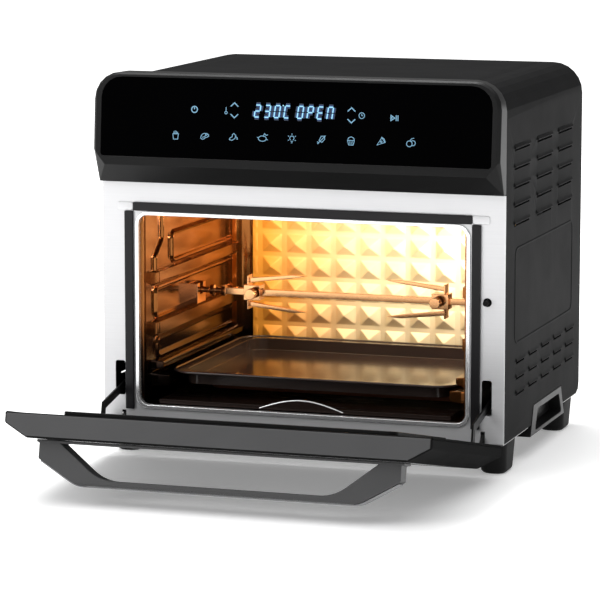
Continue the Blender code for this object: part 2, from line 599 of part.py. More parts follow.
def make_door(oven, door, plastic, glass, steel, trim):
    """The door, drawn closed: frame, two panes, inner panel, handle and hinge pins."""
    outer = DOOR_INNER - DOOR_THICK
    top = DOOR_LOW + DOOR_HEIGHT
    edge = DOOR_INNER - DOOR_EDGE
    inset = HALF_WIDTH - DOOR_CHAMFER
    section = [(-HALF_WIDTH, edge), (-inset, outer), (inset, outer), (HALF_WIDTH, edge)]
    section += [(HALF_WIDTH, DOOR_INNER), (-HALF_WIDTH, DOOR_INNER)]
    frame = Drawing(door).prism(filleted(section, [3, 5, 5, 3, 1, 1], 3), "z", DOOR_LOW, top)
    frame = frame.piece("door_frame", plastic)
    holes = Drawing(door)
    holes.box((-144, outer - 5, 70), (144, DOOR_INNER + 5, 216))
    cut(frame, holes)
    recesses, bores = Drawing(door), Drawing(door)
    recesses.box((-166.3, outer - 5, 29.7), (166.3, outer + 3.4, 226.3))
    recesses.box((-150.3, DOOR_INNER - 3.5, 63.7), (150.3, DOOR_INNER + 5, 222.3))
    for _, sign in mirrored():
        a, b = span(sign, 177.0, 182.0)
        recesses.box((a, DOOR_INNER - 16.2, DOOR_LOW - 3), (b, DOOR_INNER + 5, 40.0))
        a, b = span(sign, ARM_X - 2.6, ARM_X + 2.6)
        recesses.box((a, DOOR_INNER - 14.0, 55.5), (b, DOOR_INNER + 5, 93.5))
        a, b = span(sign, 171.6, 187.4)
        bores.prism(circle((HINGE_Y, HINGE_Z), 2.8), "x", a, b)
    cut(frame, recesses, bores)

    Drawing(door).box((-166, outer + 0.2, 30), (166, outer + 3.1, 226)).piece("door_outer_glass", glass)
    pane = Drawing(door).box((-150, DOOR_INNER - 3.2, 64), (150, DOOR_INNER - 0.3, 222))
    pane.piece("door_inner_glass", glass)
    sheet = rectangle((-158, 57), (158, 229), 8, 3)
    panel = Drawing(door).prism(sheet, "y", DOOR_INNER + GAP, DOOR_INNER + 4.0)
    panel = panel.piece("door_inner_panel", steel)
    window = rectangle((-145, 69), (145, 217), 6, 3)
    cut(panel, Drawing(door).prism(window, "y", DOOR_INNER - 3, DOOR_INNER + 9))

    plate, leg, bar = outer - GAP, outer - 17.6, outer - 39.8
    high, low = top - 12.5, top - 30.5
    outside = [(-170, plate), (-170, leg), (-132, bar), (132, bar), (170, leg), (170, plate)]
    loop = Drawing(door).prism(filleted(outside, [0, 2, 26, 26, 2, 0], 5), "z", low, high)
    loop = loop.piece("door_handle", plastic)
    fuse(loop, Drawing(door).box((-172.5, plate - 2.8, low - 4), (172.5, plate, high)))
    inside = [(-149, plate - 2.8), (-110, bar + 6.0), (110, bar + 6.0), (149, plate - 2.8)]
    cut(loop, Drawing(door).prism(filleted(inside, [0, 40, 40, 0], 7), "z", low - 8, high + 5))
    face = filleted([(-168, leg - 1.2), (-132, bar), (132, bar), (168, leg - 1.2)], [0, 26, 26, 0], 5)
    Drawing(door).prism(ribbon(face, -GAP, -1.3), "z", low + 2, high - 2).piece("handle_trim", trim)

    for side, sign in mirrored():
        a, b = span(sign, 172.0, 187.0)
        pin = [(0, a), (2.5, a), (2.5, b), (0, b)]
        Drawing(door).turned(pin, (0, HINGE_Y, HINGE_Z), "x", 12).piece("hinge_pin_" + side, steel)


def make_door_fittings(oven, black_metal, sheet_steel, chrome):
    """The hinge brackets, the stay arms with their springs, and the door switch with its pin."""
    for side, sign in mirrored():
        a, b = span(sign, 178.0, 181.0)
        turns = [math.radians(100 + 22 * k) for k in range(10)]
        ear = [(HINGE_Y + 5 * math.cos(t), HINGE_Z + 5 * math.sin(t)) for t in turns]
        neck = [(-6.0, 27.0), (0.5, 33.4), (24.0, 33.4), (24.0, 42.0), (1.5, 42.0), (-8.0, 33.0)]
        bracket = Drawing(oven).prism(ear + neck, "x", a, b).piece("hinge_bracket_" + side, black_metal)
        cut(bracket, Drawing(oven).prism(circle((HINGE_Y, HINGE_Z), 2.8), "x", a - 3, b + 3))

        pivot = opened(*ARM_PIVOT_CLOSED)
        place = Place("arm_axis_" + side, (sign * ARM_X, *pivot), oven)
        path = [pivot, (pivot[0] + 5.1, pivot[1] + 22.4), (0.0, pivot[1] + 31.2)]
        path.append((58.0, pivot[1] + 42.8))
        a, b = span(sign, ARM_X - ARM_THICK / 2, ARM_X + ARM_THICK / 2)
        arm = Drawing(place).prism(ribbon(path, -ARM_HALF, ARM_HALF), "x", a, b)
        arm.piece("door_arm_" + side, black_metal)

        coil = []
        turns, steps = 9, 8
        for k in range(turns * steps + 1):
            angle = 2 * math.pi * k / steps
            rise = 82 + 62 * k / (turns * steps)
            coil.append((sign * 175.5 + 3.6 * math.cos(angle), 56 + 3.6 * math.sin(angle), rise))
        rod(oven, "arm_spring_" + side, coil, 0.7, sheet_steel, 0)

    place = Place("switch_axis", (ARM_X, 0, SWITCH_Z), oven)
    pin = [(0, -8.3), (1.8, -8.3), (2.6, -7.3), (2.6, 14.0), (0, 14.0)]
    Drawing(place).turned(pin, (ARM_X, 0, SWITCH_Z), "y", 12).piece("door_switch_pin", chrome)
    switch = Drawing(oven).box((ARM_X - 6, 6, SWITCH_Z - 11), (ARM_X + 6, 34, SWITCH_Z + 11))
    switch = switch.piece("door_switch", black_metal)
    cut(switch, Drawing(oven).prism(circle((ARM_X, SWITCH_Z), 3.0), "y", 0, 22.5))


def main():
    """Clears the scene and models the oven, with its door open."""
    for old in list(bpy.data.objects):
        bpy.data.objects.remove(old)

    paint = finish("casing_paint", (0.035, 0.035, 0.037), 0.42)
    plastic = finish("dark_plastic", (0.045, 0.045, 0.047), 0.4)
    rubber = finish("foot_rubber", (0.03, 0.03, 0.03), 0.7)
    black_rubber = finish("seal_rubber", (0.015, 0.014, 0.017), 0.5)
    steel = finish("brushed_steel", (0.78, 0.78, 0.79), 0.3, 1.0)
    chrome = finish("bright_metal", (0.8, 0.79, 0.77), 0.18, 1.0)
    sheet_steel = finish("galvanised_sheet", (0.6, 0.6, 0.6), 0.45, 1.0)
    enamel = finish("cavity_enamel", (0.35, 0.2, 0.09), 0.25, 0.6)
    dark_enamel = finish("pan_enamel", (0.06, 0.04, 0.035), 0.25)
    glow_metal = finish("heater_tube", (0.5, 0.12, 0.04), 0.5, 0.4)
    black_metal = finish("black_metal", (0.02, 0.02, 0.02), 0.5, 0.3)
    clear_glass = finish("clear_glass", (0.9, 0.9, 0.88), 0.1)
    door_glass = finish("door_glass", (0.02, 0.02, 0.022), 0.05)
    black_glass = finish("black_glass", (0.006, 0.006, 0.007), 0.05)
    board_green = finish("circuit_board", (0.03, 0.16, 0.07), 0.5)
    lit = finish("display_face", (0.25, 0.7, 0.95), 0.4)
    trim = finish("handle_silver", (0.6, 0.6, 0.6), 0.35, 0.8)

    oven = Place("oven", (0, 0, 0))
    oven.empty.location.y = ORIGIN_Y * MM
    door = Place("door_axis", (0, HINGE_Y, HINGE_Z), oven, DOOR_OPEN)

    make_casing(oven, paint, plastic, rubber, sheet_steel)
    make_front(oven, steel, chrome, black_rubber)
    make_cavity(oven, enamel, chrome, glow_metal, clear_glass, sheet_steel)
    make_fan(oven, sheet_steel, chrome, black_metal)
    make_spit(oven, chrome, sheet_steel, black_metal)
    make_trays(oven, dark_enamel, chrome)
    make_control_head(oven, plastic, black_glass, board_green, lit)
    make_door(oven, door, plastic, door_glass, steel, trim)
    make_door_fittings(oven, black_metal, sheet_steel, chrome)


main()
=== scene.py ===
"""Looks of a countertop air fryer oven: finishes, pressed sheet detail, touch symbols and studio."""

import json
import logging
import math
from dataclasses import dataclass, field
from enum import Enum
from typing import Any, Callable, Iterable, Sequence

import bmesh
import bpy
import numpy as np
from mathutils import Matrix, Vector

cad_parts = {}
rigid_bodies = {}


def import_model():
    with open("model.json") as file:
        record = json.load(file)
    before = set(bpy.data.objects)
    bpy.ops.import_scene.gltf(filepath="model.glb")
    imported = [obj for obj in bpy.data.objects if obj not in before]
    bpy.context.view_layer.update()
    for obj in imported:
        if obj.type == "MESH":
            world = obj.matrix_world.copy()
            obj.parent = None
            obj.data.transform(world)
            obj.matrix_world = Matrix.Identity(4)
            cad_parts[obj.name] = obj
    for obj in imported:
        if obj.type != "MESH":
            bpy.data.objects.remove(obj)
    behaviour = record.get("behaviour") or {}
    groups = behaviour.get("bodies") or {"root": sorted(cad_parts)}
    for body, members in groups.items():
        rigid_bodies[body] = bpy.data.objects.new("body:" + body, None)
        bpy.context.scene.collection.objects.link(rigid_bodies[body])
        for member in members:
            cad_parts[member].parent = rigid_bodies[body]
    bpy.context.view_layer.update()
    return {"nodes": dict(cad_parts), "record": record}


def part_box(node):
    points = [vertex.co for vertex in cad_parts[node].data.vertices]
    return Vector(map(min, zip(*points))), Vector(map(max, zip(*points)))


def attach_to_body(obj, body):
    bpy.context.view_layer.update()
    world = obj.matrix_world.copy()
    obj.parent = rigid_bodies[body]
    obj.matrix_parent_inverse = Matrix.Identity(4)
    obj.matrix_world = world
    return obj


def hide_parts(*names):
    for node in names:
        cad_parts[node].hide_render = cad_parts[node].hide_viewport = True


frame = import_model()

MM = 0.001
LOG = logging.getLogger("air_fryer_oven")
Triple = tuple[float, float, float]
Colour = Triple


class Side(Enum):
    """The two sides of the oven, valued by the sign of x."""

    LEFT = -1.0
    RIGHT = 1.0

    @property
    def word(self) -> str:
        """The side's name as nodes spell it."""
        return self.name.lower()


# --------------------------------------------------------------------------------------------
# Shader graphs


class Term:
    """A shader socket that Python's arithmetic operators work on."""

    def __init__(self, graph: "Graph", socket: bpy.types.NodeSocket) -> None:
        """Wraps a socket of a graph."""
        self.graph = graph
        self.socket = socket

    def _maths(self, operation: str, left: Any, right: Any) -> "Term":
        """Adds one Math node."""
        return self.graph.node("ShaderNodeMath", {"operation": operation}, {0: left, 1: right})

    def __add__(self, other: Any) -> "Term":
        """Sum."""
        return self._maths("ADD", self, other)

    __radd__ = __add__

    def __mul__(self, other: Any) -> "Term":
        """Product."""
        return self._maths("MULTIPLY", self, other)

    __rmul__ = __mul__

    def __pow__(self, other: Any) -> "Term":
        """Power."""
        return self._maths("POWER", self, other)

    def __rpow__(self, other: Any) -> "Term":
        """Reflected power."""
        return self._maths("POWER", other, self)

    def step(self, low: float, high: float) -> "Term":
        """A smooth step between 0 and 1.

        Args:
            low: value that gives 0.
            high: value that gives 1; the step falls where it is the smaller.

        Returns:
            The step.
        """
        names = {"From Min": min(low, high), "From Max": max(low, high)}
        ends = {"To Min": 0.0, "To Max": 1.0} if low < high else {"To Min": 1.0, "To Max": 0.0}
        settings = {"interpolation_type": "SMOOTHSTEP"}
        return self.graph.node("ShaderNodeMapRange", settings, {"Value": self, **names, **ends})


class Graph:
    """The node tree of one material."""

    def __init__(self, name: str) -> None:
        """Starts a material with a Principled shader.

        Args:
            name: the material's name.
        """
        self.material = bpy.data.materials.new(name)
        self.material.use_nodes = True
        self.tree = self.material.node_tree
        self.shader = self.tree.nodes["Principled BSDF"]
        self._place: Term | None = None

    def node(self, kind: str, settings: dict[str, Any], sockets: dict[Any, Any], out: Any = 0) -> Term:
        """Adds any node.

        Args:
            kind: the node's type.
            settings: its properties, set first.
            sockets: values or terms for its inputs, by name or number.
            out: the output that the term stands for.

        Returns:
            The chosen output.
        """
        made = self.tree.nodes.new(kind)
        for key, value in settings.items():
            setattr(made, key, value)
        for key, value in sockets.items():
            self.feed(made.inputs[key], value)
        return Term(self, made.outputs[out])

    def feed(self, target: bpy.types.NodeSocket, value: Any) -> None:
        """Links a term to a socket, or sets a plain value on it.

        Args:
            target: the socket.
            value: a term, a number or a colour.
        """
        if isinstance(value, Term):
            self.tree.links.new(value.socket, target)
        elif isinstance(value, tuple) and len(value) == 3 and target.type == "RGBA":
            target.default_value = (*value, 1.0)
        else:
            target.default_value = value

    def place(self) -> Term:
        """Object coordinates, in metres."""
        if self._place is None:
            self._place = self.node("ShaderNodeTexCoord", {}, {}, "Object")
        return self._place

    def axis(self, name: str) -> Term:
        """One of the Object coordinates, X, Y or Z."""
        return self.node("ShaderNodeSeparateXYZ", {}, {0: self.place()}, name)

    def noise(
        self, size: float, detail: float = 2.0, stretch: Triple = (1, 1, 1), rough: float = 0.5
    ) -> Term:
        """Noise between 0 and 1.

        Args:
            size: of its lumps, in metres.
            detail: octaves of finer noise.
            stretch: how many times longer the lumps are along each axis.
            rough: weight of the finer octaves.

        Returns:
            The noise.
        """
        scale = tuple(1.0 / (size * s) for s in stretch)
        spot = self.node("ShaderNodeMapping", {}, {"Vector": self.place(), "Scale": scale})
        sockets = {"Vector": spot, "Scale": 1.0, "Detail": detail, "Roughness": rough}
        return self.node("ShaderNodeTexNoise", {}, sockets)

    def blend(self, factor: Any, first: Any, second: Any) -> Term:
        """A colour between two colours.

        Args:
            factor: 0 for the first colour, 1 for the second.
            first: a colour.
            second: another.

        Returns:
            The mixed colour.
        """
        made = self.node("ShaderNodeMix", {"data_type": "RGBA"}, {"Factor": factor}, 2)
        node = made.socket.node
        self.feed(node.inputs[6], first)
        self.feed(node.inputs[7], second)
        return made

    def bump(self, height: Any, depth: float) -> Term:
        """A normal from a height between 0 and 1, depth metres deep."""
        sockets = {"Height": height, "Distance": depth, "Strength": 1.0}
        return self.node("ShaderNodeBump", {}, sockets, "Normal")

    def finish(self, **sockets: Any) -> bpy.types.Material:
        """Feeds the Principled shader, whose input names have underscores for spaces here.

        Args:
            sockets: a term or a value for each input.

        Returns:
            The material.
        """
        for key, value in sockets.items():
            self.feed(self.shader.inputs[key.replace("_", " ")], value)
        return self.material


# --------------------------------------------------------------------------------------------
# Finishes


@dataclass(frozen=True)
class Finish:
    """A moulded or painted surface: cloudy colour, fine grain and handling marks.

    Attributes:
        name: what the maker calls it.
        colour: linear base colour.
        rough: middle roughness.
        metal: metallic value.
        grain: size of the surface grain in metres.
        relief: depth of the grain in metres.
        cloud: share by which the colour wanders over the surface.
        coat: weight of a clear coat.
        gloss: specular level, 0.5 for plain plastic and paint.
    """

    name: str
    colour: Colour
    rough: float = 0.4
    metal: float = 0.0
    grain: float = 0.0007
    relief: float = 0.00002
    cloud: float = 0.12
    coat: float = 0.0
    gloss: float = 0.5

    def colours(self, graph: Graph) -> Any:
        """Base colour that drifts slowly between a darker and a paler tone.

        Args:
            graph: the material's graph.

        Returns:
            The colour.
        """
        darker = tuple(c * (1.0 - self.cloud) for c in self.colour)
        paler = tuple(min(1.0, c * (1.0 + self.cloud)) for c in self.colour)
        return graph.blend(graph.noise(0.06, 3.0), darker, paler)

    def roughness(self, graph: Graph) -> Any:
        """Roughness that wanders with handling marks, and more finely with the grain."""
        return graph.noise(0.045, 4.0) * 0.12 + graph.noise(self.grain * 2.0) * 0.06 + (self.rough - 0.09)

    def normal(self, graph: Graph) -> Any:
        """Fine grain."""
        return graph.bump(graph.noise(self.grain, 3.0), self.relief)

    def material(self) -> bpy.types.Material:
        """Builds the material."""
        graph = Graph(self.name)
        extra = {"Coat_Weight": self.coat, "Coat_Roughness": 0.06} if self.coat else {}
        return graph.finish(
            Base_Color=self.colours(graph),
            Roughness=self.roughness(graph),
            Normal=self.normal(graph),
            Metallic=self.metal,
            Specular_IOR_Level=self.gloss,
            **extra,
        )


@dataclass(frozen=True)
class BrushedSteel(Finish):
    """Sheet steel that is brushed along X: long fine scratches in tone, gloss and height."""

    def streaks(self, graph: Graph) -> Term:
        """Noise drawn out along X."""
        return graph.noise(0.0006, 3.0, (120.0, 1.0, 1.0), 0.6)

    def colours(self, graph: Graph) -> Any:
        """The plain tone, a little darker along some scratches."""
        darker = tuple(c * (1.0 - self.cloud) for c in self.colour)
        return graph.blend(self.streaks(graph), darker, self.colour)

    def roughness(self, graph: Graph) -> Any:
        """Roughness that changes from scratch to scratch."""
        return self.streaks(graph) * 0.16 + graph.noise(0.09, 2.0) * 0.08 + (self.rough - 0.12)

    def normal(self, graph: Graph) -> Any:
        """Shallow scratches."""
        return graph.bump(self.streaks(graph), self.relief)


@dataclass(frozen=True)
class BakedCoat(Finish):
    """Cavity coating that has browned in the heat, with painted shade that darkens it towards the floor.

    Attributes:
        soot: colour of the painted shade low down in the cavity.
        low: height in metres where the painted shade is full.
        high: height where it has gone.
        lean: how much higher the painted shade reaches towards the left, as a slope.
    """

    soot: Colour = (0.012, 0.007, 0.005)
    low: float = 0.05
    high: float = 0.125
    lean: float = 0.16

    def colours(self, graph: Graph) -> Any:
        """Bronze above, browned in clouds, and painted shade below.

        Args:
            graph: the material's graph.

        Returns:
            The colour.
        """
        browned = tuple(c * s for c, s in zip(self.colour, (0.72, 0.55, 0.42)))
        unshaded = graph.blend(graph.noise(0.035, 4.0) ** 1.6, self.colour, browned)
        # Painted shade: towards the cavity floor the colour darkens to near black, reaching higher on the
        # left.
        height = graph.axis("Z") + graph.axis("X") * self.lean + graph.noise(0.05, 3.0) * 0.03
        return graph.blend(height.step(self.high + 0.015, self.low + 0.015), unshaded, self.soot)


@dataclass(frozen=True)
class FadedCoat(BakedCoat):
    """Cavity coating painted darker and more orange towards the left end, as shade away from the lamp on the
    right.

    Attributes:
        scorch: colour of the painted shade at the left end.
        left: place in metres where the painted shade is full.
        right: place where it has gone.
    """

    scorch: Colour = (0.95, 0.44, 0.07)
    left: float = -0.135
    right: float = 0.0

    def colours(self, graph: Graph) -> Any:
        """The coat's clouds, with painted shade towards the left end and painted shade below.

        Args:
            graph: the material's graph.

        Returns:
            The colour.
        """
        browned = tuple(c * s for c, s in zip(self.colour, (0.97, 0.9, 0.78)))
        unshaded = graph.blend(graph.noise(0.035, 4.0), self.colour, browned)
        # Painted shade: orange towards the left end, away from the cavity lamp on the right wall.
        across = graph.axis("X") + graph.noise(0.04, 2.0) * 0.03
        tinted = graph.blend(across.step(self.right + 0.015, self.left + 0.015), unshaded, self.scorch)
        height = graph.axis("Z") + graph.noise(0.05, 3.0) * 0.02
        return graph.blend(height.step(self.high, self.low), tinted, self.soot)


@dataclass(frozen=True)
class Paper(Finish):
    """Studio paper that glows away from the oven, so that it stays white to the horizon.

    Attributes:
        near: glow round the oven, where shadows fall.
        far: glow further away.
    """

    near: float = 0.25
    far: float = 0.95

    def material(self) -> bpy.types.Material:
        """Builds the material: the glow rises with the square of the distance from the oven."""
        graph = Graph(self.name)
        away = graph.axis("X") ** 2.0 + graph.axis("Y") ** 2.0
        glow = graph.blend(away.step(0.12, 1.6), (self.near,) * 3, (self.far,) * 3)
        tone = graph.blend(graph.noise(0.4), self.colour, tuple(c * 0.99 for c in self.colour))
        return graph.finish(
            Base_Color=tone,
            Roughness=self.rough,
            Specular_IOR_Level=self.gloss,
            Emission_Color=glow,
            Emission_Strength=1.0,
        )


@dataclass(frozen=True)
class Glow:
    """A surface that gives light of its own.

    Attributes:
        name: what the maker calls it.
        colour: linear colour of the light.
        strength: emission strength.
        flicker: share by which the light varies along the surface.
    """

    name: str
    colour: Colour
    strength: float
    flicker: float = 0.15

    def material(self) -> bpy.types.Material:
        """Builds the material."""
        graph = Graph(self.name)
        dimmer = tuple(c * (1.0 - self.flicker) for c in self.colour)
        light = graph.blend(graph.noise(0.004), dimmer, self.colour)
        return graph.finish(
            Base_Color=(0.01, 0.02, 0.03),
            Roughness=0.4,
            Emission_Color=light,
            Emission_Strength=self.strength,
        )


@dataclass(frozen=True)
class Pane:
    """Glass, clear or smoked.

    Attributes:
        name: what the maker calls it.
        colour: tint.
        opacity: share of the light that it stops.
        rough: middle roughness.
    """

    name: str
    colour: Colour
    opacity: float
    rough: float = 0.05

    def material(self) -> bpy.types.Material:
        """Builds the material."""
        graph = Graph(self.name)
        marks = graph.noise(0.02, 4.0) * 0.05 + self.rough
        tint = graph.blend(graph.noise(0.08), self.colour, tuple(c * 1.25 for c in self.colour))
        return graph.finish(Base_Color=tint, Roughness=marks, Alpha=self.opacity, IOR=1.5)


PAINT = Finish(
    "satin_black_paint", (0.0092, 0.0092, 0.0094), 0.52, grain=0.0005, relief=0.000012, gloss=0.014
)
PLASTIC = Finish("satin_black_plastic", (0.0095, 0.0095, 0.0096), 0.34, relief=0.00001, gloss=0.1)
DEEP_PLASTIC = Finish("deep_black_plastic", (0.009, 0.009, 0.0091), 0.45, relief=0.00001, gloss=0.002)
GREY_PLASTIC = Finish(
    "satin_grey_plastic", (0.05, 0.05, 0.051), 0.42, grain=0.0009, relief=0.000012, gloss=0.3
)
DARK_PLASTIC = Finish("matt_black_plastic", (0.006, 0.006, 0.006), 0.5, gloss=0.1)
RUBBER = Finish("foot_rubber", (0.009, 0.009, 0.009), 0.6, grain=0.0012, relief=0.00005, gloss=0.1)
SILICONE = Finish("seal_silicone", (0.006, 0.0055, 0.0065), 0.42, grain=0.002, relief=0.00003, gloss=0.25)
STEEL = BrushedSteel("brushed_steel", (0.685, 0.685, 0.695), 0.38, 0.5, relief=0.000004, cloud=0.1)
COLLAR = BrushedSteel("polished_collar", (0.86, 0.86, 0.87), 0.2, 0.75, relief=0.000002, cloud=0.06)
SHEET = Finish("zinc_sheet", (0.42, 0.42, 0.42), 0.42, 1.0, grain=0.004, relief=0.00002)
# Painted warm reflection: the plate's copper tint is the colour that the cavity's warm light gives it.
WARM_TINT_PLATE = Finish("bright_plate", (0.66, 0.34, 0.15), 0.16, 1.0, grain=0.003, relief=0.00001, cloud=0.1)
TRAY = BrushedSteel("tray_steel", (0.03, 0.018, 0.014), 0.25, 0.6, relief=0.000004, cloud=0.2)
# Painted shade: the cavity walls darken towards the floor.
COAT = BakedCoat("cavity_coat", (0.24, 0.09, 0.02), 0.14, 0.9, grain=0.003, relief=0.00003)
# Painted shade: the back wall darkens towards its left end and towards the floor.
BACK = FadedCoat("cavity_back_coat", (0.97, 0.88, 0.68), 0.36, 0.1, grain=0.003, low=0.045, high=0.1)
PAN = Finish("pan_enamel", (0.04, 0.026, 0.022), 0.16, 0.1, relief=0.00002, cloud=0.3, coat=0.12, gloss=0.4)
HEATER = Finish("heater_tube", (0.3, 0.1, 0.05), 0.5, 0.6, grain=0.001, relief=0.00003, cloud=0.3)
BLACK_METAL = Finish("black_metal", (0.004, 0.004, 0.004), 0.4, 0.2, gloss=0.15)
LAMINATE = Finish("board_laminate", (0.02, 0.13, 0.05), 0.5, grain=0.002, relief=0.00003)
SILVER = BrushedSteel("handle_silver", (0.32, 0.32, 0.33), 0.4, 0.6, relief=0.000003, cloud=0.08)
TOUCH_GLASS = Finish(
    "touch_glass", (0.0005, 0.0005, 0.0006), 0.1, grain=0.02, relief=0.000001, cloud=0.2, gloss=0.012
)
DOOR_GLASS = Pane("smoked_door_glass", (0.012, 0.012, 0.013), 0.86)
LAMP_GLASS = Pane("lamp_glass", (1.0, 0.9, 0.7), 0.35, 0.12)
BULB = Glow("lamp_filament", (1.0, 0.72, 0.36), 12.0)
SYMBOL = Glow("touch_symbol", (0.27, 0.58, 0.82), 0.8)
DIGIT = Glow("display_segment", (0.42, 0.86, 1.0), 1.15)
HALOS = (
    Glow("display_halo_far", (0.0, 0.003, 0.02), 1.0),
    Glow("display_halo_wide", (0.0, 0.01, 0.055), 1.0),
    Glow("display_halo_middle", (0.0, 0.03, 0.16), 1.0),
    Glow("display_halo_near", (0.0, 0.1, 0.42), 1.0),
)


class Shop:
    """Keeps one material for each finish."""

    def __init__(self) -> None:
        """Starts empty."""
        self.made: dict[str, bpy.types.Material] = {}

    def material(self, finish: Any) -> bpy.types.Material:
        """The finish's material, built the first time.

        Args:
            finish: the finish.

        Returns:
            Its material.
        """
        if finish.name not in self.made:
            self.made[finish.name] = finish.material()
        return self.made[finish.name]

    def dress(self, piece: bpy.types.Object, finish: Any) -> bpy.types.Object:
        """Gives a piece one finish all over.

        Args:
            piece: the piece.
            finish: its finish.

        Returns:
            The same piece.
        """
        piece.data.materials.clear()
        piece.data.materials.append(self.material(finish))
        return piece


SHOP = Shop()


# --------------------------------------------------------------------------------------------
# Mesh work


def place_of(node: str) -> tuple[Vector, Vector]:
    """The lowest and highest corners of a node, in metres."""
    low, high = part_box(node)
    return Vector(low), Vector(high)


def mesh_piece(
    name: str, points: np.ndarray, faces: Sequence[Sequence[int]], finish: Any
) -> bpy.types.Object:
    """Makes a piece from points and faces.

    Args:
        name: the piece's name.
        points: an array of (x, y, z) rows, in metres.
        faces: the corners of each face.
        finish: its finish.

    Returns:
        The new object, with its normals turned outwards.
    """
    data = bpy.data.meshes.new(name)
    data.from_pydata(np.asarray(points, float).tolist(), [], [list(map(int, f)) for f in faces])
    work = bmesh.new()
    work.from_mesh(data)
    bmesh.ops.remove_doubles(work, verts=work.verts, dist=1e-6)
    bmesh.ops.recalc_face_normals(work, faces=work.faces)
    work.to_mesh(data)
    work.free()
    piece = bpy.data.objects.new(name, data)
    bpy.context.scene.collection.objects.link(piece)
    return SHOP.dress(piece, finish)


def grid_faces(
    rows: int, columns: int, wrap_rows: bool = False, wrap_columns: bool = False
) -> np.ndarray:
    """Quads of a grid of points.

    Args:
        rows: of points.
        columns: of points.
        wrap_rows: whether the last row joins the first.
        wrap_columns: whether the last column joins the first.

    Returns:
        An array of four point numbers for each quad.
    """
    r = np.arange(rows if wrap_rows else rows - 1)
    c = np.arange(columns if wrap_columns else columns - 1)
    r, c = np.meshgrid(r, c, indexing="ij")
    r2, c2 = (r + 1) % rows, (c + 1) % columns
    corners = [r * columns + c, r * columns + c2, r2 * columns + c2, r2 * columns + c]
    return np.stack(corners, -1).reshape(-1, 4)


def smooth(piece: bpy.types.Object, angle: float = 35.0) -> bpy.types.Object:
    """Shades a piece smooth, apart from edges sharper than angle.

    Args:
        piece: the piece.
        angle: in degrees.

    Returns:
        The same piece.
    """
    piece.data.polygons.foreach_set("use_smooth", np.ones(len(piece.data.polygons), bool))
    piece.data.set_sharp_from_angle(angle=math.radians(angle))
    return piece


def box_piece(name: str, low: Triple, high: Triple, finish: Any) -> bpy.types.Object:
    """A plain box.

    Args:
        name: the piece's name.
        low: its lowest corner.
        high: its highest corner.
        finish: its finish.

    Returns:
        The piece.
    """
    spans = tuple(zip(low, high))
    points = np.array([(x, y, z) for x in spans[0] for y in spans[1] for z in spans[2]])
    faces = [[0, 1, 3, 2], [4, 6, 7, 5], [0, 4, 5, 1], [2, 3, 7, 6], [0, 2, 6, 4], [1, 5, 7, 3]]
    return mesh_piece(name, points, faces, finish)


def lofted(name: str, rings: Sequence[np.ndarray], finish: Any) -> bpy.types.Object:
    """A skin over rings of equally many points, closed by a flat face at both ends.

    Args:
        name: the piece's name.
        rings: the points of each ring.
        finish: its finish.

    Returns:
        The piece.
    """
    count = len(rings[0])
    faces = grid_faces(len(rings), count, False, True).tolist()
    faces += [list(range(count)), list(range(count * (len(rings) - 1), count * len(rings)))]
    return mesh_piece(name, np.concatenate(rings), faces, finish)


def relief_slab(
    name: str,
    across: np.ndarray,
    up: np.ndarray,
    height: Callable[[np.ndarray, np.ndarray], np.ndarray],
    put: Callable[[np.ndarray, np.ndarray, np.ndarray], np.ndarray],
    finish: Any,
) -> bpy.types.Object:
    """A closed slab whose front is a relief: a height over a grid of two parameters.

    The front is put(u, v, height(u, v)), and a flat back at height 0 closes it, joined by a skirt.

    Args:
        name: the piece's name.
        across: values of the first parameter.
        up: values of the second.
        height: the relief over both.
        put: turns (u, v, height) into points.
        finish: its finish.

    Returns:
        The piece, shaded smooth.
    """
    u, v = np.meshgrid(across, up, indexing="ij")
    front = put(u, v, height(u, v)).reshape(-1, 3)
    rows, columns = u.shape
    index = np.arange(rows * columns).reshape(rows, columns)
    rim = np.concatenate([index[0, :-1], index[:-1, -1], index[-1, :0:-1], index[:0:-1, 0]])
    back = put(u, v, np.zeros_like(u)).reshape(-1, 3)[rim]
    base = len(front) + np.arange(len(rim))
    skirt = np.stack([rim, np.roll(rim, -1), np.roll(base, -1), base], -1)
    faces = grid_faces(rows, columns).tolist() + skirt.tolist() + [base.tolist()]
    return smooth(mesh_piece(name, np.concatenate([front, back]), faces, finish), 50)


def swept_tube(
    name: str,
    path: np.ndarray,
    radius: float,
    finish: Any,
    sides: int = 10,
    closed: bool = False,
    flat: float = 1.0,
) -> bpy.types.Object:
    """A round bar along a path: a ring of points, square to the path, at each of its points.

    Args:
        name: the piece's name.
        path: rows of (x, y, z).
        radius: of the bar.
        finish: its finish.
        sides: points round the bar.
        closed: whether the path returns to its start.
        flat: height of the section over its width.

    Returns:
        The piece.
    """
    ahead = np.roll(path, -1, 0) - np.roll(path, 1, 0)
    if not closed:
        ahead[0], ahead[-1] = path[1] - path[0], path[-1] - path[-2]
    ahead /= np.linalg.norm(ahead, axis=1, keepdims=True)
    spread = np.ptp(path, axis=0)
    normal = np.eye(3)[int(np.argmin(spread))]
    side = np.cross(ahead, normal)
    side /= np.maximum(np.linalg.norm(side, axis=1, keepdims=True), 1e-9)
    rise = np.cross(side, ahead)
    turn = np.linspace(0, 2 * np.pi, sides, endpoint=False)
    ring = side[:, None] * np.cos(turn)[:, None] + rise[:, None] * np.sin(turn)[:, None] * flat
    points = (path[:, None] + ring * radius).reshape(-1, 3)
    faces = grid_faces(len(path), sides, closed, True).tolist()
    if not closed:
        faces += [list(range(sides)), list(range(len(points) - sides, len(points)))]
    return smooth(mesh_piece(name, points, faces, finish), 60)


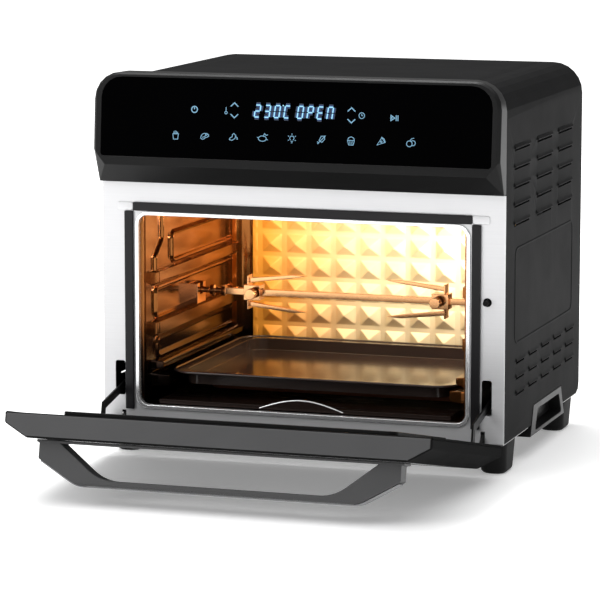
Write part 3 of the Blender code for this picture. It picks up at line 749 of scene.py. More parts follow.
def lathe(
    name: str, profile: np.ndarray, centre: Vector, axis: Vector, finish: Any, sides: int = 24
) -> bpy.types.Object:
    """A profile turned about an axis: each of its rows gives a ring of points.

    Args:
        name: the piece's name.
        profile: rows of (radius, height), the first and last with radius 0.
        centre: where the axis starts.
        axis: its direction.
        finish: its finish.
        sides: points round each ring.

    Returns:
        The piece.
    """
    turn = np.linspace(0, 2 * np.pi, sides, endpoint=False)
    ring = np.stack([np.cos(turn), np.sin(turn)], -1)
    heights = np.repeat(profile[:, 1:, None], sides, 1)
    points = np.concatenate([profile[:, :1, None] * ring[None], heights], -1)
    matrix = Vector((0, 0, 1)).rotation_difference(axis).to_matrix()
    points = points.reshape(-1, 3) @ np.array(matrix).T + np.array(centre)
    faces = grid_faces(len(profile), sides, False, True).tolist()
    return smooth(mesh_piece(name, points, faces, finish), 40)


def rounded_loop(half_a: float, half_b: float, radius: float, steps: int = 8) -> np.ndarray:
    """A rounded rectangle about the origin: four arcs, one at each corner.

    Args:
        half_a: half its size along the first axis.
        half_b: half its size along the second.
        radius: of its corners.
        steps: points in each arc.

    Returns:
        Rows of two coordinates.
    """
    turn = np.linspace(0, np.pi / 2, steps)
    loops = []
    for k, (sa, sb) in enumerate(((1, 1), (-1, 1), (-1, -1), (1, -1))):
        angle = turn + k * np.pi / 2
        a = sa * (half_a - radius) + radius * np.cos(angle)
        b = sb * (half_b - radius) + radius * np.sin(angle)
        loops.append(np.stack([a, b], -1))
    return np.concatenate(loops)


def flattened(work: bmesh.types.BMesh) -> bmesh.types.BMesh:
    """Merges the triangles of each flat face, unless a face with holes would lose its shape.

    Args:
        work: a closed mesh.

    Returns:
        The merged mesh where its triangulation keeps the volume to a thousandth, else the mesh as it was.
    """
    merged = work.copy()
    bmesh.ops.dissolve_limit(merged, angle_limit=math.radians(0.6), verts=merged.verts, edges=merged.edges)
    test = merged.copy()
    bmesh.ops.triangulate(test, faces=test.faces)
    area = sum(face.calc_area() for face in work.faces)
    kept = abs(test.calc_volume() - work.calc_volume()) < 0.001 * abs(work.calc_volume())
    kept = kept and abs(sum(face.calc_area() for face in test.faces) - area) < 0.001 * area
    test.free()
    (work if kept else merged).free()
    return merged if kept else work


def softened(
    node: str, width: float, finish: Any, angle: float = 30.0, segments: int = 2
) -> bpy.types.Object:
    """A merged copy of a CAD node with rounded edges, which stands for the node.

    Args:
        node: the node's name.
        width: bevel width in metres, or 0 for a thin pierced sheet that keeps its edges.
        finish: its finish.
        angle: sharpest angle in degrees that stays unbevelled.
        segments: segments of the bevel.

    Returns:
        The copy, which replaces the node and rides on its body.
    """
    data = frame["nodes"][node].data.copy()
    work = bmesh.new()
    work.from_mesh(data)
    bmesh.ops.remove_doubles(work, verts=work.verts, dist=2e-6)
    bmesh.ops.recalc_face_normals(work, faces=work.faces)
    if width:
        work = flattened(work)
    work.to_mesh(data)
    work.free()
    piece = bpy.data.objects.new(node + "_body", data)
    bpy.context.scene.collection.objects.link(piece)
    SHOP.dress(piece, finish)
    smooth(piece, angle)
    if width:
        bevel = piece.modifiers.new("edges", "BEVEL")
        bevel.width = width
        bevel.segments = segments
        bevel.limit_method = "ANGLE"
        bevel.angle_limit = math.radians(angle)
        bevel.use_clamp_overlap = False
    weighted = piece.modifiers.new("flat faces stay flat", "WEIGHTED_NORMAL")
    weighted.weight = 80
    weighted.keep_sharp = not width
    body = next(b for b, names in frame["record"]["behaviour"]["bodies"].items() if node in names)
    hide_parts(node)
    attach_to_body(piece, body)
    return piece


def dress_node(node: str, finish: Any) -> None:
    """Gives a finish to a CAD node that keeps its own mesh."""
    SHOP.dress(frame["nodes"][node], finish)


def attach(piece: bpy.types.Object, body: str) -> bpy.types.Object:
    """Makes a new piece ride on a body.

    Args:
        piece: the piece.
        body: name of the body.

    Returns:
        The same piece.
    """
    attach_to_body(piece, body)
    return piece


def trapezoid(value: np.ndarray, low: float, high: float, ramp: float) -> np.ndarray:
    """1 between low and high, 0 outside, with ramps of the given width just inside both ends."""
    return np.clip(np.minimum(value - low, high - value) / ramp, 0.0, 1.0)


def eased(value: np.ndarray) -> np.ndarray:
    """The smooth step of a value between 0 and 1."""
    return value * value * (3.0 - 2.0 * value)


# --------------------------------------------------------------------------------------------
# Sub-assemblies


@dataclass
class Casing:
    """Outer wrap, rear panel, base, grips and feet, with pressings and screws.

    Attributes:
        emboss_width: half width of the bar along each side's embossed outline.
        emboss_half: half the outline's depth and height.
        emboss_corner: its corner radius.
        emboss_centre: its centre, behind the casing's front and above its lower edge.
        emboss_sink: how far the bar's middle lies inside the casing's widest point.
        field_half: half width of the raised field on the roof.
        field_margin: distance of the field from the front and rear edges.
        field_rise: its height.
        field_ramp: width of its eased edge.
        baffle_margin: distance from the front and rear edges of the black sheets that paint shade behind the
            louvres.
        baffle_drop: how far below the roof their lower and upper edges lie.
        baffle_depths: how far inside the casing their two faces lie.
        screw_radius: of a rear screw's head.
        screw_crown: height of the head.
        screw_margin: distance of the screws from the rear panel's edges.
        screw_draw: share of its distance from the middle that an upper screw keeps.
    """

    emboss_width: float = 1.3 * MM
    emboss_half: tuple[float, float] = (113 * MM, 45 * MM)
    emboss_corner: float = 9 * MM
    emboss_centre: tuple[float, float] = (148 * MM, 135 * MM)
    emboss_sink: float = 1.5 * MM
    field_half: float = 158 * MM
    field_margin: float = 14 * MM
    field_rise: float = 0.9 * MM
    field_ramp: float = 8 * MM
    baffle_margin: float = 20 * MM
    baffle_drop: tuple[float, float] = (118 * MM, 24 * MM)
    baffle_depths: tuple[float, float] = (6.0 * MM, 5.2 * MM)
    screw_radius: float = 3.4 * MM
    screw_crown: float = 1.6 * MM
    screw_margin: float = 11 * MM
    screw_draw: float = 0.93

    def build(self) -> None:
        """Dresses the casing."""
        for node in ("outer_wrap", "rear_panel"):
            softened(node, 0.0, PAINT, 25)
        for side in Side:
            softened(f"side_grip_{side.word}", 0.9 * MM, PLASTIC)
            for end in ("front", "rear"):
                softened(f"foot_{end}_{side.word}", 1.2 * MM, RUBBER, 40)
        softened("base_plate", 0.2 * MM, SHEET)
        softened("cord_gland", 0.8 * MM, RUBBER)
        low, high = place_of("outer_wrap")
        self.side_outlines(low, high)
        self.roof_pressing(low, high)
        self.baffles(low, high)
        self.rear_screws()

    def side_outlines(self, low: Vector, high: Vector) -> None:
        """Embossed outline on each side: a half-sunk bar along a rounded rectangle.

        Args:
            low: the casing's lowest corner.
            high: its highest corner.
        """
        loop = rounded_loop(*self.emboss_half, self.emboss_corner)
        middle_y, middle_z = low.y + self.emboss_centre[0], low.z + self.emboss_centre[1]
        for side in Side:
            x = side.value * (high.x - self.emboss_sink)
            path = np.stack([np.full(len(loop), x), middle_y + loop[:, 0], middle_z + loop[:, 1]], -1)
            outline = swept_tube(f"side_emboss_{side.word}", path, self.emboss_width, PAINT, 10, True, 0.4)
            attach(outline, "root")

    def roof_pressing(self, low: Vector, high: Vector) -> None:
        """Raised field on the roof: a plateau with eased edges over a thin sheet.

        Args:
            low: the casing's lowest corner.
            high: its highest corner.
        """
        half, y0, y1 = self.field_half, low.y + self.field_margin, high.y - self.field_margin
        top, sheet = high.z - 0.05 * MM, 0.1 * MM

        def height(u: np.ndarray, v: np.ndarray) -> np.ndarray:
            """Height of the field over the roof."""
            ramps = trapezoid(u, -half, half, self.field_ramp), trapezoid(v, y0, y1, self.field_ramp)
            return sheet + self.field_rise * eased(np.minimum(*ramps))

        def put(u: np.ndarray, v: np.ndarray, h: np.ndarray) -> np.ndarray:
            """Points above the roof."""
            return np.stack([u, v, top + h], -1)

        across, up = np.linspace(-half, half, 80), np.linspace(y0, y1, 60)
        piece = relief_slab("roof_pressing", across, up, height, put, PAINT)
        attach(piece, "root")

    def baffles(self, low: Vector, high: Vector) -> None:
        """Black sheets inside both sides, behind the upper louvres, that paint the shade seen through the
        slots.

        Args:
            low: the casing's lowest corner.
            high: its highest corner.
        """
        for side in Side:
            x0, x1 = sorted(side.value * (high.x - depth) for depth in self.baffle_depths)
            near = (x0, low.y + self.baffle_margin, high.z - self.baffle_drop[0])
            far = (x1, high.y - self.baffle_margin, high.z - self.baffle_drop[1])
            # Painted shade: a black sheet behind the louvres, so that the slots look dark.
            shade_sheet = box_piece(f"louvre_baffle_{side.word}", near, far, BLACK_METAL)
            attach(shade_sheet, "root")

    def rear_screws(self) -> None:
        """Domed screws round the rear panel, with a drive recess in each head."""
        low, high = place_of("rear_panel")
        columns = (low.x + self.screw_margin, 0.0, high.x - self.screw_margin)
        rows = ((low.z + self.screw_margin, 1.0), (high.z - self.screw_margin, self.screw_draw))
        spots = [(x * draw, z) for x in columns for z, draw in rows]
        rise = np.linspace(0, np.pi / 2, 6)
        dome = np.stack([self.screw_radius * np.cos(rise), self.screw_crown * np.sin(rise)], -1)
        recess = [[1.2 * MM, 1.5 * MM], [1.0 * MM, 0.7 * MM], [0, 0.7 * MM]]
        profile = np.concatenate([[[0, 0]], dome[:-1], recess])
        outwards = Vector((0, 1, 0))
        for k, (x, z) in enumerate(spots, 1):
            screw = lathe(f"rear_screw_{k}", profile, Vector((x, high.y, z)), outwards, SHEET, 16)
            attach(screw, "root")


@dataclass
class Front:
    """Steel front panel, collar, seals, hinge brackets, arms and the door switch pin.

    Attributes:
        clip_half: half the width and height of a seal clip.
        clip_corner: its corner radius.
        clip_reach: distance of its middle beyond the seal's end.
        clip_levels: (scale, height) of its rings, from the panel to the crown.
    """

    clip_half: tuple[float, float] = (8.2 * MM, 3.9 * MM)
    clip_corner: float = 2.2 * MM
    clip_reach: float = 8.6 * MM
    clip_levels: tuple[tuple[float, float], ...] = (
        (1.0, -0.1 * MM),
        (1.0, 0.9 * MM),
        (0.96, 1.2 * MM),
        (0.86, 1.3 * MM),
    )

    def build(self) -> None:
        """Dresses the front."""
        softened("front_frame", 0.25 * MM, STEEL)
        softened("cavity_collar", 0.5 * MM, COLLAR, 25, 3)
        for name in ("seal_top", "seal_left", "seal_right"):
            softened(name, 0.9 * MM, SILICONE, 30, 3)
        for side in Side:
            for part in ("hinge_bracket", "door_arm"):
                softened(f"{part}_{side.word}", 0.3 * MM, BLACK_METAL)
            dress_node(f"arm_spring_{side.word}", SHEET)
            dress_node(f"hinge_pin_{side.word}", STEEL)
            self.seal_clip(side)
        softened("door_switch_pin", 0.4 * MM, DARK_PLASTIC)
        dress_node("door_switch", DARK_PLASTIC)

    def seal_clip(self, side: Side) -> None:
        """Steel tab that holds the upper seal's end: a rounded pad with a crowned face.

        Args:
            side: which end of the seal.
        """
        seal_low, seal_high = place_of("seal_top")
        panel_low, _ = place_of("front_frame")
        end = seal_low.x if side is Side.LEFT else seal_high.x
        middle = end + side.value * self.clip_reach
        centre_z = (seal_low.z + seal_high.z) / 2
        loop = rounded_loop(*self.clip_half, self.clip_corner, 6)
        rings = []
        for scale, proud in self.clip_levels:
            x, z = middle + loop[:, 0] * scale, centre_z + loop[:, 1] * scale
            rings.append(np.stack([x, np.full(len(loop), panel_low.y - proud), z], -1))
        clip = lofted(f"seal_clip_{side.word}", rings, STEEL)
        attach(smooth(clip, 30), "root")


@dataclass
class Cavity:
    """Cooking space: pressed walls, heaters, fan guard, lamp and sensor.

    Attributes:
        cell: width and height of a pyramid's cell on the back wall.
        pyramid: height of the pyramids.
        back: half width, lower and upper edge of the back wall.
        liner_sheet: thickness of the liner.
        liner_air: gap between the liner and the back wall.
        wall: distance of the side walls from the middle.
        reach: where the side walls start and end behind the front panel.
        span: lower and upper edge of the side walls.
        ledges: (low, high, proud) of each shelf ledge, in millimetres.
        panels: (low, high, near, far) of each sunk panel, in millimetres.
        channel: (depth, height) of the bends of the guide channel, in millimetres.
        step: spacing of the points of the walls.
    """

    cell: tuple[float, float] = (26.6 * MM, 24 * MM)
    pyramid: float = 6.5 * MM
    back: tuple[float, float, float] = (141 * MM, 58 * MM, 241 * MM)
    liner_sheet: float = 1.0 * MM
    liner_air: float = 0.3 * MM
    wall: float = 160 * MM
    reach: tuple[float, float] = (8 * MM, 252 * MM)
    span: tuple[float, float] = (54 * MM, 243 * MM)
    ledges: tuple[Triple, ...] = ((163, 177, 7), (113, 128, 7), (80.5, 90, 13), (64, 76.9, 19))
    panels: tuple[tuple[float, ...], ...] = ((131, 160, 30, 255), (93, 110, 34, 255), (181, 208, 76, 255))
    channel: tuple[tuple[float, float], ...] = ((50, 236), (50, 205), (30, 190), (30, 176))
    step: float = 1.1 * MM

    def build(self) -> None:
        """Dresses the cavity."""
        softened("cavity_liner", 0.5 * MM, COAT, 30)
        self.back_wall()
        for side in Side:
            self.side_wall(side)
        for name in ("upper_heater", "lower_heater"):
            dress_node(name, HEATER)
        softened("fan_guard", 0.2 * MM, WARM_TINT_PLATE)
        for name in ("fan_chamber", "convection_fan", "lamp_housing"):
            dress_node(name, SHEET)
        dress_node("fan_motor", BLACK_METAL)
        dress_node("temperature_sensor", WARM_TINT_PLATE)
        softened("lamp_glass", 0.6 * MM, LAMP_GLASS)
        dress_node("lamp_bulb", BULB)

    def spread(self, low: float, high: float) -> np.ndarray:
        """Evenly spaced values from low up to high."""
        return np.arange(low, high + self.step / 2, self.step)

    def back_wall(self) -> None:
        """Back wall pressed into pyramids, one over each cell of a grid.

        A point's height follows its distance from the nearest side of its cell, as a share of the
        cell, with a flat margin round each pyramid.
        """
        half, low, high = self.back
        back = place_of("cavity_liner")[1].y - self.liner_sheet - self.liner_air
        wide, tall = self.cell
        margin, first_row = 7 * MM, 0.2

        def height(u: np.ndarray, v: np.ndarray) -> np.ndarray:
            """Height of the pyramids over the sheet.

            Args:
                u: places across.
                v: heights.

            Returns:
                Heights of the relief.
            """
            a, b = (u / wide) % 1.0, (v / tall + first_row) % 1.0
            edge = np.minimum(np.minimum(a, 1 - a), np.minimum(b, 1 - b))
            inside = np.minimum(trapezoid(u, -half, half, margin), trapezoid(v, low, high, margin))
            return 0.4 * MM + self.pyramid * np.clip(edge * 2.5 - 0.25, 0, 1.0) * inside

        def put(u: np.ndarray, v: np.ndarray, h: np.ndarray) -> np.ndarray:
            """Points in front of the liner's back."""
            return np.stack([u, back - h, v], -1)

        across, up = self.spread(-half, half), self.spread(low, high)
        piece = relief_slab("cavity_back_wall", across, up, height, put, BACK)
        attach(smooth(piece, 14), "root")

    def pressing(self, y: np.ndarray, z: np.ndarray) -> np.ndarray:
        """Relief of a side wall.

        Ledges are trapezoids in z that fade at both ends in y. Panels between them are sunk rounded
        rectangles inside a raised rim, and the guide channel is a rim along a line with two bends.

        Args:
            y: distance behind the front panel, in millimetres.
            z: height, in millimetres.

        Returns:
            How far the wall stands into the cavity, in millimetres.
        """
        rise = np.full_like(y, 0.9)
        for low, high, proud in self.ledges:
            ends = trapezoid(y, 21.0, 263.0, 2.5 if proud > 8 else 7.0)
            lift = np.clip((z - low + 0.6) / 3.0, 0, 1) * np.clip((high + 0.35 - z) / 1.2, 0, 1)
            rise = np.maximum(rise, (proud + 0.4) * lift * eased(ends))
        corner = 6
        for low, high, near, far in self.panels:
            qy = np.abs(y - (near + far) / 2) - ((far - near) / 2 - corner)
            qz = np.abs(z - (low + high) / 2) - ((high - low) / 2 - corner)
            outside = np.hypot(np.maximum(qy, 0), np.maximum(qz, 0))
            away = outside + np.minimum(np.maximum(qy, qz), 0) - corner
            rim = np.exp(-((away / 1.9) ** 2))
            rise = rise + 3.2 * rim - 0.8 * eased(np.clip(-away / 2.5, 0, 1))
        for (ya, za), (yb, zb) in zip(self.channel, self.channel[1:]):
            run, climb = yb - ya, zb - za
            along = np.clip(((y - ya) * run + (z - za) * climb) / (run**2 + climb**2), 0, 1)
            away = np.hypot(y - ya - along * run, z - za - along * climb)
            rise = np.maximum(rise, 0.9 + 3.4 * np.exp(-((away / 2.6) ** 2)))
        return rise

    def clearing(self, y: np.ndarray, z: np.ndarray) -> np.ndarray:
        """Where the right wall's relief gives way to the spit and to the lamp's glass.

        Args:
            y: place in depth, in metres.
            z: height, in metres.

        Returns:
            0 round both, rising to 1 over a ramp outside them.
        """
        ramp = 4 * MM
        spit_low, spit_high = place_of("spit_rod")
        lamp_low, lamp_high = place_of("lamp_glass")
        spit, lamp = (spit_low + spit_high) / 2, (lamp_low + lamp_high) / 2
        half = (lamp_high - lamp_low) / 2
        from_spit = np.hypot(y - spit.y, z - spit.z) - 10 * MM
        from_lamp = np.maximum(np.abs(y - lamp.y) - half.y, np.abs(z - lamp.z) - half.z) - 1 * MM
        return np.clip(np.minimum(from_spit, from_lamp) / ramp, 0, 1)

    def side_wall(self, side: Side) -> None:
        """Pressed lining of one side wall, cleared where the spit and the lamp pass.

        Args:
            side: which wall.
        """
        front = place_of("front_frame")[0].y
        sheet = 0.05 * MM

        def height(u: np.ndarray, v: np.ndarray) -> np.ndarray:
            """Relief over the distance behind the front panel and the height."""
            rise = self.pressing(u / MM, v / MM) * MM
            clear = self.clearing(u + front, v) if side is Side.RIGHT else np.ones_like(u)
            return sheet + (rise - sheet) * eased(clear)

        def put(u: np.ndarray, v: np.ndarray, h: np.ndarray) -> np.ndarray:
            """Points that stand into the cavity from the wall."""
            return np.stack([side.value * (self.wall + 0.1 * MM - h), u + front, v], -1)

        across, up = self.spread(*self.reach), self.spread(*self.span)
        piece = relief_slab(f"cavity_wall_{side.word}", across, up, height, put, COAT)
        attach(smooth(piece, 60), "root")


@dataclass
class Rotisserie:
    """Spit rod, forks, thumb screws, socket, bracket and motor.

    Attributes:
        rod_edge: rounding of the rod's and the forks' edges.
        screw_edge: rounding of the screws and the socket.
        bracket_edge: rounding of the bracket.
    """

    rod_edge: float = 0.35 * MM
    screw_edge: float = 0.4 * MM
    bracket_edge: float = 0.3 * MM

    def build(self) -> None:
        """Dresses the rotisserie."""
        softened("spit_rod", self.rod_edge, WARM_TINT_PLATE)
        softened("drive_socket", self.screw_edge, WARM_TINT_PLATE)
        softened("spit_bracket", self.bracket_edge, WARM_TINT_PLATE)
        for side in Side:
            softened(f"spit_fork_{side.word}", self.rod_edge, WARM_TINT_PLATE)
            softened(f"fork_screw_{side.word}", self.screw_edge, WARM_TINT_PLATE)
        dress_node("spit_motor", BLACK_METAL)


@dataclass
class Trays:
    """Drip pan with a rolled rim, and the crumb tray.

    Attributes:
        rim_radius: of the drip pan's rolled rim.
        rim_inset: distance of the rim's middle from the pan's outside.
        rim_corner: corner radius of the rim.
        lip_start: left end of the crumb tray's finger lip.
        lip_width: of the lip.
        lip_rise: its height in the middle.
        lip_radius: of its rolled edge.
    """

    rim_radius: float = 1.3 * MM
    rim_inset: float = 0.9 * MM
    rim_corner: float = 25 * MM
    lip_start: float = -44 * MM
    lip_width: float = 84 * MM
    lip_rise: float = 9.4 * MM
    lip_radius: float = 0.75 * MM

    def build(self) -> None:
        """Dresses the trays."""
        softened("drip_pan", 0.45 * MM, PAN, 25, 3)
        softened("crumb_tray", 0.3 * MM, TRAY)
        self.pan_rim()
        self.finger_lip()

    def pan_rim(self) -> None:
        """Rolled rim of the drip pan: a bar along a rounded rectangle."""
        low, high = place_of("drip_pan")
        half_x, half_y = (high.x - low.x) / 2, (high.y - low.y) / 2
        loop = rounded_loop(half_x - self.rim_inset, half_y - self.rim_inset, self.rim_corner)
        y, z = (low.y + high.y) / 2 + loop[:, 1], np.full(len(loop), high.z - 0.2 * MM)
        path = np.stack([loop[:, 0], y, z], -1)
        attach(swept_tube("drip_pan_rim", path, self.rim_radius, PAN, 10, True), "pan")

    def finger_lip(self) -> None:
        """Rolled bright edge of the finger lip: half a sine wave between the lip's ends."""
        low, _ = place_of("crumb_tray")
        share = np.linspace(0.0, 1.0, 25)
        rise = self.lip_rise * np.sin(np.pi * share)
        across = self.lip_start + self.lip_width * share
        path = np.stack([across, np.full_like(share, low.y + 0.5 * MM), low.z + 1.0 * MM + rise], -1)
        lip = swept_tube("crumb_tray_lip", path, self.lip_radius, COLLAR, 8)
        attach(lip, "crumb_drawer")


@dataclass
class Fascia:
    """The touch panel's plane, which leans back from the lower front edge of the control head.

    Attributes:
        lean: the angle of its lean, in radians.
        glass_low: height of the glass's lower edge above the head's.
        lift: how far the symbols stand in front of the glass.
    """

    lean: float = math.radians(4.7)
    glass_low: float = 8.5 * MM
    lift: float = 0.12 * MM

    def __post_init__(self) -> None:
        """Finds the plane from the glass."""
        low, _ = place_of("control_glass")
        self.origin = np.array([0.0, low.y, low.z])
        self.up = np.array([0.0, math.sin(self.lean), math.cos(self.lean)])
        self.out = np.array([0.0, -math.cos(self.lean), math.sin(self.lean)])

    def put(self, x: np.ndarray, h: np.ndarray, proud: float) -> np.ndarray:
        """Points on or in front of the panel.

        Args:
            x: places across.
            h: heights above the head's lower edge, along the panel.
            proud: distance in front of the symbols' plane.

        Returns:
            Rows of (x, y, z).
        """
        points = self.origin + self.out * (self.lift + proud) + (h - self.glass_low)[..., None] * self.up
        points[..., 0] += x
        return points


class Pen:
    """Draws strokes of even width on the fascia, as closed ribbons."""

    THICK = 0.08 * MM

    def __init__(self, fascia: Fascia, width: float, proud: float = 0.0) -> None:
        """Starts an empty drawing.

        Args:
            fascia: the plane to draw on.
            width: of the strokes, in metres.
            proud: how far in front of the plane.
        """
        self.fascia = fascia
        self.width = width
        self.proud = proud
        self.points: list[np.ndarray] = []
        self.faces: list[list[int]] = []
        self.count = 0

    def stroke(self, path: Iterable[tuple[float, float]], closed: bool = False) -> "Pen":
        """Adds a stroke. Its edges are the path moved half a width along its mitred normals.

        Args:
            path: (x, height) points in metres.
            closed: whether the last point joins the first.

        Returns:
            The pen.
        """
        line = np.array(list(path), float)
        before, after = np.roll(line, 1, 0), np.roll(line, -1, 0)
        if not closed:
            before[0] = line[0] - (line[1] - line[0])
            after[-1] = line[-1] + (line[-1] - line[-2])
        one, two = line - before, after - line
        one /= np.linalg.norm(one, axis=1, keepdims=True)
        two /= np.linalg.norm(two, axis=1, keepdims=True)
        normal = np.stack([-(one + two)[:, 1], (one + two)[:, 0]], -1)
        normal /= np.maximum(np.linalg.norm(normal, axis=1, keepdims=True), 1e-9)
        stretch = np.maximum(0.5, normal[:, 0] * -one[:, 1] + normal[:, 1] * one[:, 0])
        shift = normal * (self.width / 2) / stretch[:, None]
        rings = []
        for offset, depth in ((shift, 0.0), (shift, self.THICK), (-shift, self.THICK), (-shift, 0.0)):
            edge = line + offset
            rings.append(self.fascia.put(edge[:, 0], edge[:, 1], self.proud + depth))
        ring = np.stack(rings, 1).reshape(-1, 3)
        faces = grid_faces(len(line), 4, closed, True) + self.count
        self.points.append(ring)
        self.faces += faces.tolist()
        if not closed:
            last = self.count + len(ring)
            self.faces += [list(range(self.count, self.count + 4)), list(range(last - 4, last))]
        self.count += len(ring)
        return self

    def arc(self, x: float, h: float, radius: float, start: float = 0.0, end: float = 360.0) -> "Pen":
        """Adds a circle or an arc.

        Args:
            x: place of its centre across.
            h: height of its centre.
            radius: of the arc.
            start: angle where it starts, in degrees.
            end: angle where it ends.

        Returns:
            The pen.
        """
        whole = abs(end - start) >= 360
        turn = np.radians(np.linspace(start, end, 17))[: 16 if whole else 17]
        return self.stroke(zip(x + radius * np.cos(turn), h + radius * np.sin(turn)), whole)

    def piece(self, name: str, finish: Any) -> bpy.types.Object:
        """Makes the drawing a piece that rides on the oven."""
        made = mesh_piece(name, np.concatenate(self.points), self.faces, finish)
        return attach(made, "root")


@dataclass
class ControlHead:
    """Bezel, glass, lit display and touch symbols.

    Attributes:
        message: characters of the display, a space for an empty place.
        cell: (width, height) of a character.
        pitch: distance from one character to the next.
        space: width of an empty place.
        slant: how far the characters lean, as a slope.
        first: left edge of the first character.
        base: height of the characters' feet above the head's lower edge.
        gap: distance between the ends of two bars of a character.
        digit: width of a lit bar.
        halos: widths of the halos behind the bars, the farthest first.
        layer: distance from one halo to the next.
        fine: width of the finest symbols' strokes.
        bold: width of the larger symbols' strokes.
        row: height of the lower row of symbols, in millimetres.
        row_pitch: distance between them, in millimetres.
        row_middle: place of the middle one, in millimetres.
        segments: the bars of each character.
    """

    message: str = "230C OPEN"
    cell: tuple[float, float] = (4.9 * MM, 11.2 * MM)
    pitch: float = 9.7 * MM
    space: float = 3.4 * MM
    slant: float = 0.14
    first: float = -38.2 * MM
    base: float = 49.4 * MM
    gap: float = 0.4 * MM
    digit: float = 1.0 * MM
    halos: tuple[float, ...] = (5.0 * MM, 3.8 * MM, 2.8 * MM, 1.9 * MM)
    layer: float = 0.09 * MM
    fine: float = 0.62 * MM
    bold: float = 0.95 * MM
    row: float = 30.0
    row_pitch: float = 28.9
    row_middle: float = -0.6
    segments: dict[str, str] = field(
        default_factory=lambda: {
            "2": "abged",
            "3": "abgcd",
            "0": "abcdef",
            "C": "afed",
            "O": "abcdef",
            "P": "abgef",
            "E": "afged",
            "N": "efabc",
        }
    )

    def build(self) -> None:
        """Dresses the head and draws what is lit."""
        softened("control_bezel", 0.5 * MM, PLASTIC, 20, 2)
        softened("control_glass", 0.3 * MM, TOUCH_GLASS)
        dress_node("display_module", DARK_PLASTIC)
        for name in ("control_board", "power_board"):
            dress_node(name, LAMINATE)
        self.fascia = Fascia()
        self.display()
        self.upper_symbols()
        self.lower_symbols()

    def display(self) -> None:
        """The lit characters, over halos that grow wider and dimmer behind them."""
        for k, (width, glow) in enumerate(zip(self.halos, HALOS)):
            pen = Pen(self.fascia, width, k * self.layer)
            self.write(pen)
            pen.piece(f"display_halo_{k}", glow)
        pen = Pen(self.fascia, self.digit, len(self.halos) * self.layer)
        self.write(pen)
        left, top = self.first + self.message.index("C") * self.pitch - 1.2 * MM, self.base + 11.4 * MM
        pen.stroke([(left, top), (left + 1.2 * MM, top)])
        pen.piece("display_digits", DIGIT)

    def write(self, pen: Pen) -> None:
        """Draws the message.

        Args:
            pen: what to draw it with.
        """
        left = self.first
        for letter in self.message:
            for segment in self.segments.get(letter, ""):
                self.segment(pen, left, segment)
            left += self.space if letter == " " else self.pitch

    def segment(self, pen: Pen, left: float, segment: str) -> None:
        """One bar of a character: a and d lie across, g in the middle, the rest stand.

        Args:
            pen: what to draw it with.
            left: the character's left edge.
            segment: the bar's letter.
        """
        wide, tall = self.cell
        half = tall / 2
        (xa, ha), (xb, hb) = {
            "a": ((0, tall), (wide, tall)),
            "b": ((wide, half), (wide, tall)),
            "c": ((wide, 0), (wide, half)),
            "d": ((0, 0), (wide, 0)),
            "e": ((0, 0), (0, half)),
            "f": ((0, half), (0, tall)),
            "g": ((0, half), (wide, half)),
        }[segment]
        share = self.gap / math.hypot(xb - xa, hb - ha)
        dx, dh = (xb - xa) * share, (hb - ha) * share
        path = [(xa + dx, ha + dh), (xb - dx, hb - dh)]
        pen.stroke([(left + x + self.slant * h, self.base + h) for x, h in path])

    def upper_symbols(self) -> None:
        """Arrow pairs, power, temperature, time and start symbols, with sizes in millimetres."""
        for name, x, h in (("lower", -58.0, 55.0), ("upper", 57.0, 53.7)):
            pen = Pen(self.fascia, self.bold)
            for sign in (1, -1):
                self.line(pen, x, h, [(-3.7, sign * 3.6), (0, sign * 7.0), (3.7, sign * 3.6)])
            pen.piece(f"symbol_arrows_{name}", SYMBOL)
        x, h = -97.8, 54.7
        pen = Pen(self.fascia, self.bold).arc(x * MM, h * MM, 2.9 * MM)
        self.line(pen, x, h, [(0, 0.2), (0, 2.0)])
        pen.piece("symbol_power", SYMBOL)
        x, h = -66.3, 54.6
        pen = Pen(self.fascia, self.fine).arc(x * MM, (h - 2.0) * MM, 1.2 * MM)
        self.line(pen, x, h, [(0, -1.0), (0, 3.2)])
        pen.piece("symbol_heat", SYMBOL)
        x, h = 67.0, 53.7
        pen = Pen(self.fascia, self.fine).arc(x * MM, h * MM, 2.7 * MM)
        self.line(pen, x, h, [(0, 1.7), (0, 0), (1.3, 0)])
        pen.piece("symbol_time", SYMBOL)
        x, h = 98.4, 52.4
        pen = Pen(self.fascia, 0.8 * MM)
        self.line(pen, x, h, [(-3.2, -2.4), (-3.2, 2.4), (0.6, 0)], True)
        self.line(pen, x, h, [(-2.2, -0.9), (-2.2, 0.9)])
        for a in (1.9, 3.6):
            self.line(pen, x, h, [(a, -2.6), (a, 2.6)])
        pen.piece("symbol_start", SYMBOL)

    def lower_symbols(self) -> None:
        """The row of nine cooking programmes, drawn generically."""
        drawings = (
            self.chips,
            self.steak,
            self.leg,
            self.bird,
            self.lamp,
            self.skewer,
            self.cake,
            self.slice,
            self.fruit,
        )
        for place, draw in enumerate(drawings):
            pen = Pen(self.fascia, self.fine)
            draw(pen, self.row_middle + self.row_pitch * (place - (len(drawings) - 1) / 2), self.row)
            pen.piece(f"symbol_{draw.__name__}", SYMBOL)

    @staticmethod
    def line(pen: Pen, x: float, h: float, path: Iterable[tuple[float, float]], closed: bool = False) -> None:
        """A stroke in millimetres about a symbol's centre.

        Args:
            pen: what to draw it with.
            x: place of the centre across.
            h: height of the centre.
            path: (x, height) points from the centre.
            closed: whether the last point joins the first.
        """
        pen.stroke([((x + a) * MM, (h + b) * MM) for a, b in path], closed)

    def chips(self, pen: Pen, x: float, h: float) -> None:
        """Chips in a cup.

        Args:
            pen: what to draw it with.
            x: place of its centre across, in millimetres.
            h: height of its centre, in millimetres.
        """
        self.line(pen, x, h, [(-2.8, 1.2), (-2.1, -3.8), (2.1, -3.8), (2.8, 1.2)], True)
        for a, top in ((-1.8, 3.4), (-0.6, 4.2), (0.7, 3.8), (1.9, 3.0)):
            self.line(pen, x, h, [(a, 1.2), (a, top)])

